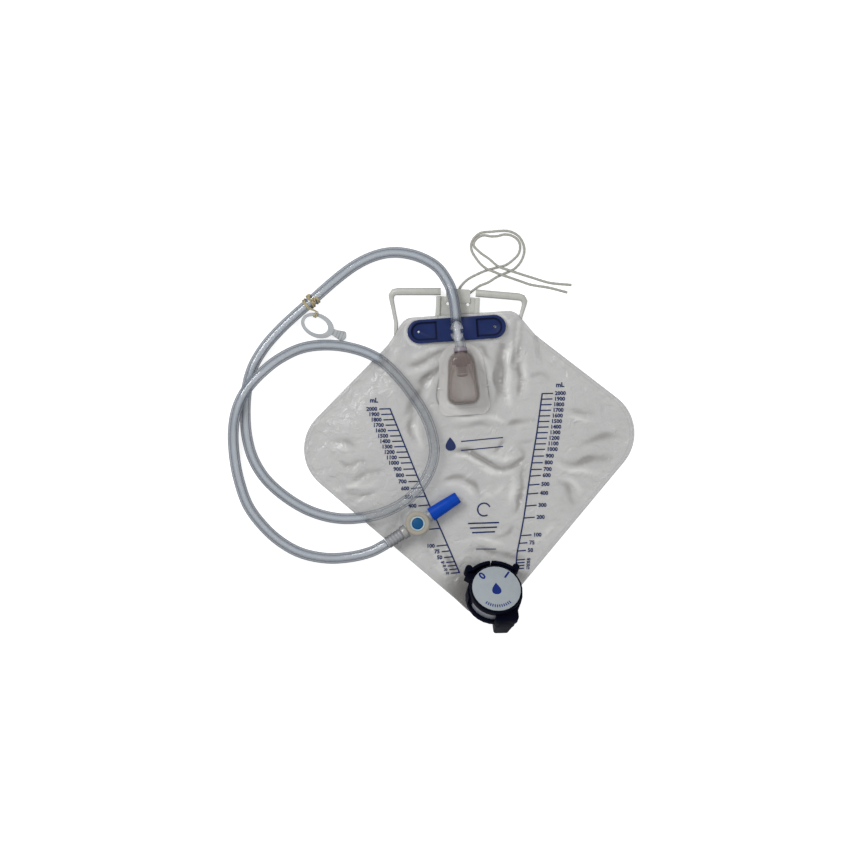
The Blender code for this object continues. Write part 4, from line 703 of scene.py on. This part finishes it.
def filled(outline_points):
    """A closed outline as a strip of quads from its right half to its left half."""
    half = len(outline_points) // 2
    return np.stack([outline_points[:half + 1], np.roll(outline_points[::-1], 1, axis=0)[:half + 1]], axis=1)


drop = filled(drop_outline(from_photo(450.5, 444.0), 14.0 * MM))
write_on = [stroke((461.0, 441.5), (503.0, 437.5), 1.1 * MM), stroke((461.0, 450.5), (503.0, 446.5), 1.1 * MM)]
open_ring = arc_strip(from_photo(484.0, 509.5), 6.5 * MM, 20, 300, 1.5 * MM)
rules = [stroke((468.0 + 2 * k, 523.5 + 4.6 * k), (499.0 - 2 * k, 522.5 + 4.6 * k), 1.5 * MM) for k in range(3)]
fill_line = stroke((476.0, 549.0), (496.0, 549.0), 0.9 * MM)
marks = ink("plain_marks", [drop, *write_on, open_ring, *rules, fill_line])
print("marks", len(marks.data.polygons), "faces")

# %% [markdown]
# ## Rubber band
# A tan rubber band ties the sheet clip to the tube. It is a thin loop, wound tight: its two strands lie side by side
# round the tube, then run over the clip's ring and back under it, and a knot holds them. Each strand is a curve with a
# bevel, because that keeps a round section through turns that stand upright, and the curves are then made one mesh.

# %% Rubber band
CLIP_PLACE = (-0.1456, 0.1486, 0.0036)
CLIP_TURN = math.radians(-27.0)
CLIP_LONG, CLIP_WIDE, CLIP_THICK = 17.3 * MM, 12.2 * MM, 4.4 * MM
CLIP_HOLE_LONG, CLIP_HOLE_WIDE, CLIP_HOLE_BACK = 12.8 * MM, 8.3 * MM, 1.4 * MM
TAB_LENGTH = 15.0 * MM
BAND_AT = np.array([-0.1500, 0.1735, 0.0088])
BAND_AHEAD = np.array([-0.0340, -0.0260, -0.0002]) / np.linalg.norm([-0.0340, -0.0260, -0.0002])
BAND_SIDE = np.cross(BAND_AHEAD, [0.0, 0.0, 1.0])
BAND_UP = np.cross(BAND_SIDE, BAND_AHEAD)
STRAND_RADIUS = 0.75 * MM
BAND_PITCH = 6.4 * MM
BAND_ON_CLIP = -6.0 * MM

clip_tilt = math.asin((CLIP_PLACE[2] - GAP / 2) / (CLIP_LONG + TAB_LENGTH))
clip_frame = Matrix.Translation(CLIP_PLACE) @ Matrix.Rotation(CLIP_TURN, 4, "Z") @ Matrix.Rotation(clip_tilt, 4, "Y")


def strand_route(shift):
    """Two turns round the tube's centre line, moved along it by `shift`, then points round the clip's wall in the
    clip's own frame, moved along the clip by as much."""
    wrap = TUBE_DIAMETER / 2 + STRAND_RADIUS
    turn = np.linspace(0.0, 2 + 1 / 12, 60)[:, None]
    angle = np.pi / 2 + 2 * np.pi * turn
    coil = BAND_AT + BAND_AHEAD * (BAND_PITCH * (turn - 1) + shift + 0.5 * MM * np.sin(2 * angle + 900 * shift))
    coil = coil + wrap * (BAND_SIDE * np.cos(angle) + BAND_UP * np.sin(angle))
    outer = CLIP_WIDE * math.sqrt(1 - (BAND_ON_CLIP / CLIP_LONG) ** 2)
    inner = CLIP_HOLE_WIDE * math.sqrt(1 - ((BAND_ON_CLIP + CLIP_HOLE_BACK) / CLIP_HOLE_LONG) ** 2)
    off, over, down = STRAND_RADIUS, CLIP_THICK + STRAND_RADIUS, inner - 1.1 * STRAND_RADIUS
    across = [(outer + 1.6 * off, over + 0.6 * off), ((inner + outer) / 2, over), (inner - 0.3 * off, over),
              (down, over - 0.6 * off), (down, CLIP_THICK / 2), (down, -0.5 * off), (down + 0.6 * off, -off),
              ((inner + outer) / 2, -off), (outer, -off)]
    local = np.array([(BAND_ON_CLIP - shift, y, z, 1.0) for y, z in across])
    return np.concatenate([coil, (local @ np.array(clip_frame).T)[:, :3]])


def knot_route(centre, size, count=60):
    """A trefoil knot: (sin t + 2 sin 2t, cos t - 2 cos 2t, -sin 3t) times `size`."""
    t = np.linspace(0.0, 2 * np.pi, count)[:, None]
    return centre + size * (BAND_AHEAD * (np.sin(t) + 2 * np.sin(2 * t)) + BAND_SIDE * (np.cos(t) - 2 * np.cos(2 * t))
                            - BAND_UP * np.sin(3 * t))


def bevelled(name, routes, radius):
    """Curves through these points with a round bevel, as one mesh."""
    curve = bpy.data.curves.new(name, "CURVE")
    curve.dimensions, curve.bevel_depth, curve.bevel_resolution, curve.use_fill_caps = "3D", radius, 3, True
    for points in routes:
        line = curve.splines.new("POLY")
        line.points.add(len(points) - 1)
        line.points.foreach_set("co", np.concatenate([points, np.ones((len(points), 1))], axis=1).ravel())
    mesh = mesh_of(name, curve)
    face_outwards(mesh, merge=True)
    return placed(name, mesh)


band_strands = [strand_route(0.85 * MM * k) for k in (-1, 1)]
top_of_tube = TUBE_DIAMETER / 2 + 2 * STRAND_RADIUS
knot = knot_route(BAND_AT + BAND_UP * top_of_tube - BAND_AHEAD * 2.0 * MM - BAND_SIDE * 1.0 * MM, 0.95 * MM)
nub = knot_route(BAND_AT + BAND_UP * 0.8 * top_of_tube - BAND_AHEAD * 1.0 * MM + BAND_SIDE * 5.6 * MM, 0.65 * MM)
rubber_band = bevelled("rubber_band_wrap", [*band_strands, knot, nub], STRAND_RADIUS)
print("band", len(rubber_band.data.polygons), "faces")

# %% [markdown]
# ## Marks on the valve's face
# The pale disc is printed in blue: 0 for closed, 1 for open, a plain drop in the middle and a row of ticks. They lie
# on the disc, in the valve's own tilted frame.

# %% Valve face marks
VALVE_PLACE = (0.0176, -0.1306, 0.0379)
VALVE_LEAN, VALVE_TOWARDS = math.radians(29.6), math.radians(68.0)
lean_axis = (-math.sin(VALVE_TOWARDS), math.cos(VALVE_TOWARDS), 0.0)
valve_frame = Matrix.Translation(VALVE_PLACE) @ Matrix.Rotation(VALVE_LEAN, 4, lean_axis)


def bar_mark(middle, turn, length, width):
    """A short bar, at this angle, as one quad."""
    ahead = np.array([math.cos(math.radians(turn)), math.sin(math.radians(turn))])
    across = np.array([-ahead[1], ahead[0]]) * width / 2
    ends = np.stack([middle - ahead * length / 2, middle + ahead * length / 2])
    return np.stack([ends - across, ends + across], axis=1)


disc_drop = [filled(drop_outline((0.0, 0.0), 13.0 * MM))]
ticks = [bar_mark(19.6 * MM * np.array([math.cos(a), math.sin(a)]), math.degrees(a), 3.2 * MM, 1.1 * MM)
         for a in np.radians(np.arange(232, 308, 6.9))]
face_marks = flat_mesh("valve_face_marks", disc_drop + ticks)
face_numbers = flat_numbers("valve_face_numbers", [("0", (-13.0 * MM, 14.6 * MM), math.radians(38), 11.0 * MM),
                                                   ("1", (12.2 * MM, 15.0 * MM), math.radians(-38), 11.0 * MM)])
for piece in (face_marks, face_numbers):
    piece.data.transform(valve_frame @ Matrix.Translation((0.0, 0.0, 0.05 * MM)))
print("face marks", len(face_marks.data.polygons), "faces")

# %% [markdown]
# ## Bosses in the bar
# The bar snaps onto white bosses that the hanger carries through the film. One shows in the window behind the tube,
# and one in the left hole. A dark strip on the floor of each D pocket, along its wall, is painted shade.


# %% Bosses
BAR_MIDDLE, WINDOW_MIDDLE, HOLE_MIDDLE = np.array([[-4.2, 134.9], [-4.6, 132.7], [-43.2, 134.9]]) * MM
POCKET_FLAT, POCKET_MIDDLE, POCKET_RADIUS = 20.1 * MM, 37.3 * MM, 9.3 * MM
POCKET_BASE, GROOVE_WIDTH, GROOVE_LIFT = 2.0 * MM, 2.0 * MM, 0.06 * MM
LENS_SEAT = 0.3 * MM


def lens(name, centre, half_x, half_y, low, rise):
    """A shallow dome: an ellipse whose height is low + rise x (1 - r squared)."""
    r = np.linspace(1.0, 0.05, 10)[:, None]
    a = np.linspace(0.0, 2 * np.pi, 40, endpoint=False)[None, :]
    x, y = centre[0] + half_x * r * np.cos(a), centre[1] + half_y * r * np.sin(a)
    z = low + rise * (1 - r**2) + 0 * x
    side = np.stack([x[:1], y[:1], 0 * x[:1] + low - LENS_SEAT], axis=-1)
    grid = np.concatenate([side, np.stack([x, y, z], axis=-1)])
    return surface(name, grid, start=(*centre, low - LENS_SEAT), end=(*centre, low + rise))


def pocket_groove(side, width):
    """A strip along the wall of one of the bar's D pockets, on its floor: the D less the same D moved in by `width`."""
    spin = np.radians(np.linspace(-90, 90, 25))
    rings = []
    for inset in (0.0, width):
        round_part = POCKET_MIDDLE + (POCKET_RADIUS - inset) * np.cos(spin), (POCKET_RADIUS - inset) * np.sin(spin)
        flat_part = [POCKET_FLAT + inset] * 2, [POCKET_RADIUS - inset, inset - POCKET_RADIUS]
        ring = np.stack([np.append(a, b) for a, b in zip(round_part, flat_part)], axis=1)
        rings.append(np.concatenate([ring, ring[:1]]) * (side, 1.0) + BAR_MIDDLE)
    return np.stack(rings, axis=1)


pocket_floor = float(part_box("hanger_bar")[0][2]) + POCKET_BASE
# Painted shade: a flat dark strip on each pocket's floor, along its wall.
grooves = flat_mesh("bar_pocket_painted_shade", [pocket_groove(side, GROOVE_WIDTH) for side in (-1, 1)],
                    pocket_floor + GROOVE_LIFT)
window_boss = lens("window_boss", WINDOW_MIDDLE, 7.6 * MM, 10.6 * MM, 6.0 * MM, 0.8 * MM)
hole_boss = lens("left_hole_boss", HOLE_MIDDLE, 1.35 * MM, 1.35 * MM, 6.8 * MM, 0.5 * MM)
print("bosses and grooves made")

# %% [markdown]
# ## Materials
# Soft PVC for the films and the tube, polypropylene for the hanger and clip, and ABS, polyethylene, polycarbonate or
# styrene for the other mouldings. Their IOR is near 1.5, and their roughness follows how glossy each looks in the
# photograph.


# %% Film materials
def film_material(name, colour, shade, alpha, roughness, wrinkle_mm, depth_mm, tints_and_painted_light=None):
    """Soft PVC film: faint clouds of 38 mm and fine wrinkles, which break its gloss up into small glints."""
    made, shader = skin(name, colour, shade, {"Scale": 1 / (38 * MM), "Detail": 4.0, "Roughness": 0.6},
                        {"Scale": 1 / (wrinkle_mm * MM), "Detail": 5.0, "Distortion": 1.6},
                        {"Strength": 0.8, "Distance": depth_mm * MM}, tints_and_painted_light)
    feed(shader, {"Roughness": roughness, "Alpha": alpha, "IOR": 1.52})
    return made


# The front film's tones add a painted highlight on the fold crests and painted shade in the fold valleys.
pvc_front = film_material("pvc_film_front", "#DCDCDB", "#C6C6C6", 0.62, 0.22, 14.0, 2.4,
                          {"painted_fold_shade": "#84807D", "crest": "#F4F4F2", "weld": "#8E8E8C", "tip": "#706C69"})
pvc_back = film_material("pvc_film_back", "#CCCCCA", "#BCBBB9", 1.0, 0.50, 11.0, 0.8)

# %% Tube material
# Clear PVC with a smoky blue cast. Seen square on, the wall is thin and lets the print below show. Towards its edges,
# and those of the bore, the eye looks along the wall, so it gathers colour: both the colour's depth and its share rise
# with the facing angle. The ramp's light middle, and a lighter band between its dark lines, are painted highlight.
# Off the film the share is higher, for there the real tube shows grey on the table, and over the bar's bright window
# it is lower.
pvc_tube, tree, shader = blank_material("clear_pvc_tube")
x, y = points_of(drain_tube.data)[:, :2].T
in_window = np.hypot((x - WINDOW_MIDDLE[0]) / (8.5 * MM), (y - WINDOW_MIDDLE[1]) / (11.5 * MM))
off_film = ease((share_of(x, y) - 0.94) / 0.06) - ease((1.1 - in_window) / 0.2)
drain_tube.data.attributes.new("off_film", "FLOAT", "POINT").data.foreach_set("value", off_film.astype(np.float32))
place = add_node(tree, "TexCoord").outputs["Object"]
drawn = add_node(tree, "TexNoise", {"Scale": 1 / (30 * MM), "Detail": 1.0}, {"Vector": place})
facing = add_node(tree, "LayerWeight", {"Blend": 0.5})
steep = add_node(tree, "Math", {1: 2.0}, {0: facing.outputs["Facing"]}, operation="POWER")
tint_and_painted_highlight = add_node(tree, "ValToRGB", links={"Fac": facing.outputs["Facing"]})
# Light stops are painted highlight; dark stops are the colour that the wall gathers where the eye looks along it.
for k, (angle, colour) in enumerate([(0.0, "#BEC5CD"), (0.08, "#A9B0BA"), (0.22, "#6A7380"), (0.36, "#8B939E"),
                                     (0.62, "#717985"), (0.92, "#454D58")]):
    stop = tint_and_painted_highlight.color_ramp.elements[k] if k < 2 else tint_and_painted_highlight.color_ramp.elements.new(angle)
    stop.position, stop.color = angle, linear(colour)
place_share = add_node(tree, "Attribute", attribute_name="off_film").outputs["Fac"]
least = add_node(tree, "MapRange", {"To Min": 0.08, "To Max": 0.56}, {"Value": place_share})
most = add_node(tree, "MapRange", {"From Min": -1.0, "From Max": 0.0, "To Min": 0.40, "To Max": 0.95},
                {"Value": place_share})
opacity = add_node(tree, "MapRange", links={"Value": steep.outputs[0], "To Min": least.outputs["Result"],
                                            "To Max": most.outputs["Result"]})
bump = add_node(tree, "Bump", {"Strength": 0.2, "Distance": 0.4 * MM}, {"Height": drawn.outputs["Fac"]})
feed(shader, {"Roughness": 0.08, "IOR": 1.52, "Specular IOR Level": 0.75},
     {"Base Color": tint_and_painted_highlight.outputs["Color"], "Alpha": opacity.outputs["Result"], "Normal": bump.outputs["Normal"]})

# %% Moulded plastics and rubber
# Polypropylene, moulded and unfilled: milky, with a satin skin that gives broad soft highlights.
polypropylene = moulded("natural_polypropylene", "#C2C2BD", "#ACACA6", 0.38)
clip_plastic = moulded("clip_polypropylene", "#B4B7BA", "#9DA1A4", 0.36)
boss_white = moulded("white_polypropylene", "#E4E6EA", "#D2D5DA", 0.40)
# Pigmented ABS, moulded: deep even colour with only a weak sheen. The pockets' grooves get painted shade.
navy_abs = moulded("navy_abs", "#182A5E", "#11204C", 0.42, cloud_mm=9.0, Specular_IOR_Level=0.2)
black_abs = moulded("black_navy_abs", "#0A0C1C", "#070916", 0.34, cloud_mm=8.0, Specular_IOR_Level=0.02)
beige_abs = moulded("beige_abs", "#A29C90", "#918B80", 0.40)
face_grey = moulded("pale_face_abs", "#A0A8AC", "#939BA1", 0.42, Specular_IOR_Level=0.25)
groove_painted_shade = moulded("shaded_navy_abs", "#10193E", "#0D1433", 0.6, cloud_mm=9.0, Specular_IOR_Level=0.15)
# Polycarbonate and polished ABS: pale, with small bright highlights.
port_cyan = moulded("pale_polycarbonate", "#BFD0D4", "#ADBFC4", 0.30, grain_depth_mm=0.01)
connector_grey = moulded("grey_polycarbonate", "#8F949A", "#7C8187", 0.30)
valve_barrel_grey = moulded("polished_grey_abs", "#9DA1A8", "#868B93", 0.26, grain_depth_mm=0.01)
# Polyethylene and silicone, moulded: waxy, with hardly any highlight. The pin is acetal.
cap_blue = moulded("blue_polyethylene", "#0644B2", "#063A98", 0.42, Specular_IOR_Level=0.10)
septum = moulded("blue_silicone", "#0C5286", "#084672", 0.50, Specular_IOR_Level=0.2)
seal_black = moulded("black_silicone", "#1A1A1A", "#101010", 0.70)
pin_acetal = moulded("grey_acetal", "#9A9DA1", "#86898D", 0.30)
# Polyester film, cut to a flap: it only tints what lies behind it.
flap_clear = moulded("clear_polyester_film", "#C8C6C4", "#B9B7B5", 0.20, grain_depth_mm=0.01, Alpha=0.30)
# Twisted cotton and latex rubber: dull and uneven. Their fibre and bloom are drawn coarse enough to show.
string_cotton = moulded("twisted_cotton", "#B2B1A9", "#92918A", 0.85, cloud_mm=3.0, grain_mm=0.4, grain_depth_mm=0.05)
band_rubber = moulded("tan_latex", "#BFB38E", "#8F8360", 0.60, cloud_mm=3.0, grain_mm=0.5, grain_depth_mm=0.05)
# Screen printing ink: dense, flat and matt.
ink_navy = moulded("navy_ink", "#26335F", "#1E2A52", 0.60, grain_depth_mm=0.0, Specular_IOR_Level=0.2)
ink_blue = moulded("blue_ink", "#0C2878", "#0A2066", 0.60, grain_depth_mm=0.0, Specular_IOR_Level=0.2)
print("materials", len(bpy.data.materials))


# %% Clear mouldings
def thin_wall(name, colour, edge, roughness, square_on=1.0, edge_on=1.0, power=1.3):
    """Tinted plastic as a thin wall. As the eye comes to look along it, its tone goes from `colour` to `edge`, and its
    own share from `square_on` to `edge_on`."""
    made = moulded(name, colour, colour, roughness, grain_mm=1.5, grain_depth_mm=0.01)
    tree, shader = made.node_tree, made.node_tree.nodes["Principled BSDF"]
    facing = add_node(tree, "LayerWeight", {"Blend": 0.5})
    steep = add_node(tree, "Math", {1: power}, {0: facing.outputs["Facing"]}, operation="POWER").outputs[0]
    tone = add_node(tree, "Mix", {6: linear(colour), 7: linear(edge)}, {0: steep}, data_type="RGBA")
    feed(shader, links={"Base Color": tone.outputs[2]})
    if square_on < 1:
        share = add_node(tree, "MapRange", {"To Min": square_on, "To Max": edge_on}, {"Value": steep})
        feed(shader, links={"Alpha": share.outputs["Result"]})
    return made


# Soft PVC, polycarbonate and styrene, moulded to a polish: clear where the wall is seen square on, dark along its
# edges, with sharp small highlights.
ferrule_grey = thin_wall("grey_clear_pvc", "#96979C", "#23262C", 0.16, power=0.9)
barrel_clear = thin_wall("clear_polycarbonate", "#9C9C9B", "#484B4D", 0.12, power=0.9)
chamber_clear = thin_wall("smoked_clear_styrene", "#A99A93", "#453B38", 0.10, 0.20, 0.94)
flange_clear = thin_wall("clear_styrene", "#F8F6F4", "#8F8B88", 0.10, 0.32, 0.85, 1.6)
# Smoked styrene: dark and glossy at both ends, and seen through between them, where the arch of the housing shows.
smoke = moulded("smoked_styrene", "#5E535E", "#50464F", 0.20, grain_depth_mm=0.01, Specular_IOR_Level=0.2)
tree, shader = smoke.node_tree, smoke.node_tree.nodes["Principled BSDF"]
place = add_node(tree, "TexCoord").outputs["Object"]
along_bag = add_node(tree, "SeparateXYZ", links={"Vector": place}).outputs["Y"]
low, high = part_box("inlet_fitting")
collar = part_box("chamber_housing")[1][1]
clear_from, clear_to = low[1] + 3.0 * MM, low[1] + 10.5 * MM
upper, lower, outer = (
    add_node(tree, "MapRange", {"From Min": start, "From Max": stop, "To Min": least, "To Max": most},
             {"Value": along_bag}).outputs["Result"]
    for start, stop, least, most in ((clear_to, clear_to + 1.0 * MM, 0.12, 0.92),
                                     (clear_from, clear_from - 1.5 * MM, 0.0, 0.8),
                                     (collar - 1.0 * MM, collar + 1.0 * MM, 0.0, 1.0)))
either = add_node(tree, "Math", links={0: upper, 1: lower}, operation="MAXIMUM").outputs[0]
tone = add_node(tree, "Mix", {6: linear("#463A46"), 7: linear("#8E8790")}, {0: outer}, data_type="RGBA")
feed(shader, links={"Base Color": tone.outputs[2], "Alpha": either})
print("inlet is clear from y", round(clear_from * 1000, 1), "to", round(clear_to * 1000, 1), "mm")

# %% [markdown]
# ## Finish and bodies
# The CAD nodes keep their shape. A Weld modifier joins their loose triangles, a Bevel gives the sharp edges a small
# round that catches the light, and an Edge Split keeps the rest crisp. Then each new piece gets its material and the
# body that it moves with, and the CAD node whose place it takes is hidden.

# %% Finish on the CAD nodes
# Each node's material, and the radius in mm of the round on its sharp edges.
node_finishes = {
    "hanger": (polypropylene, 0.8), "hanger_bar": (navy_abs, 0.2), "chamber_flange": (flange_clear, 0.3),
    "chamber_housing": (chamber_clear, 0.4), "inlet_fitting": (smoke, 0.3), "sheet_clip": (clip_plastic, 0.9),
    "tube_ferrule": (ferrule_grey, 0.0), "connector_barrel": (barrel_clear, 0.2), "port_body": (port_cyan, 0.25),
    "port_ring": (beige_abs, 0.3), "port_septum": (septum, 0.2), "catheter_connector": (connector_grey, 0.0),
    "protective_cap": (cap_blue, 0.3), "outlet_neck": (barrel_clear, 0.0), "valve_base": (black_abs, 0.4),
    "valve_barrel": (valve_barrel_grey, 0.2), "valve_seal": (seal_black, 0.0), "valve_pin": (pin_acetal, 0.0),
    "valve_knob": (black_abs, 0.4), "valve_face": (face_grey, 0.2), "anti_reflux_flap": (flap_clear, 0.0),
}
for node_name, (material, edge_mm) in node_finishes.items():
    dress(node_name, material, edge_mm)
print("nodes dressed", len(node_finishes))

# %% Finish and body of the new pieces
scale_print = [left_lines, left_numbers, right_lines, right_numbers, units, marks]
valve_print = [face_marks, face_numbers]
# Each new piece's material, its slot in the record, and the CAD node that it replaces.
new_pieces = [
    (front_film, pvc_front, "clear_film", "front_film"), (back_film, pvc_back, "back_film", "back_film"),
    (drain_tube, pvc_tube, "clear_vinyl", "drain_tube"), (string_inner, string_cotton, "string", "tie_string_inner"),
    (string_outer, string_cotton, "string", "tie_string_outer"),
    (rubber_band, band_rubber, "band_rubber", "rubber_band"), (window_boss, boss_white, "natural_plastic", None),
    (hole_boss, boss_white, "natural_plastic", None), (grooves, groove_painted_shade, "navy_plastic", None),
    *((piece, ink_navy, "navy_plastic", None) for piece in scale_print),
    *((piece, ink_blue, "navy_plastic", None) for piece in valve_print),
]
for piece, material, slot, node_name in new_pieces:
    piece.data.materials.clear()
    piece.data.materials.append(material)
    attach(piece, "knob" if piece in valve_print else "bag")
    if node_name:
        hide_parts(node_name)
print("new pieces", len(new_pieces))

# %% [markdown]
# ## Outline
# The film's outline is split into its x and y.

# %% Outline coordinates
x, y = outline.T

# %% [markdown]
# ## Table and light
# A pale grey table and soft light: a plain world, a large soft lamp from the upper left and a weaker one from the
# right. The table glows white to the camera, and still takes the bag's soft shadow.

# %% Table
TABLE_HALF, TABLE_LEVEL = 4.0, -0.4 * MM
table_x, table_y = np.meshgrid([-TABLE_HALF, TABLE_HALF], [-TABLE_HALF, TABLE_HALF])
table_top = surface("table", np.stack([table_x, table_y, 0 * table_x + TABLE_LEVEL], axis=-1), around=False,
                    face_up=True)
white, tree, shader = blank_material("white_table")
rays = add_node(tree, "LightPath")
glow = add_node(tree, "Math", {1: 0.78}, {0: rays.outputs["Is Camera Ray"]}, operation="MULTIPLY")
feed(shader, {"Base Color": linear("#C2C5C9"), "Roughness": 0.9, "Emission Color": (1.0, 1.0, 1.0, 1.0)},
     {"Emission Strength": glow.outputs[0]})
table_top.data.materials.append(white)

# %% World and lamps
world = bpy.data.worlds.new("studio")
bpy.context.scene.world = world
world.use_nodes = True
tree = world.node_tree
rays = add_node(tree, "LightPath").outputs
direct = add_node(tree, "Math", links={0: rays["Is Camera Ray"], 1: rays["Is Transmission Ray"]},
                  operation="MAXIMUM")
strength = add_node(tree, "MapRange", {"To Min": 0.50, "To Max": 1.0}, {"Value": direct.outputs[0]})
feed(tree.nodes["Background"], {"Color": (1.0, 1.0, 1.0, 1.0)}, {"Strength": strength.outputs["Result"]})

for name, place, size, power in (("key", (-1.1, 1.0, 1.6), 0.9, 26.0), ("fill", (1.3, -0.4, 1.5), 1.2, 8.0)):
    lamp = placed(name, bpy.data.lights.new(name, "AREA"))
    lamp.data.energy, lamp.data.size = power, size
    lamp.matrix_world = Matrix.Translation(place) @ (-Vector(place)).to_track_quat("-Z", "Y").to_matrix().to_4x4()
bpy.context.scene.view_settings.view_transform = "Standard"
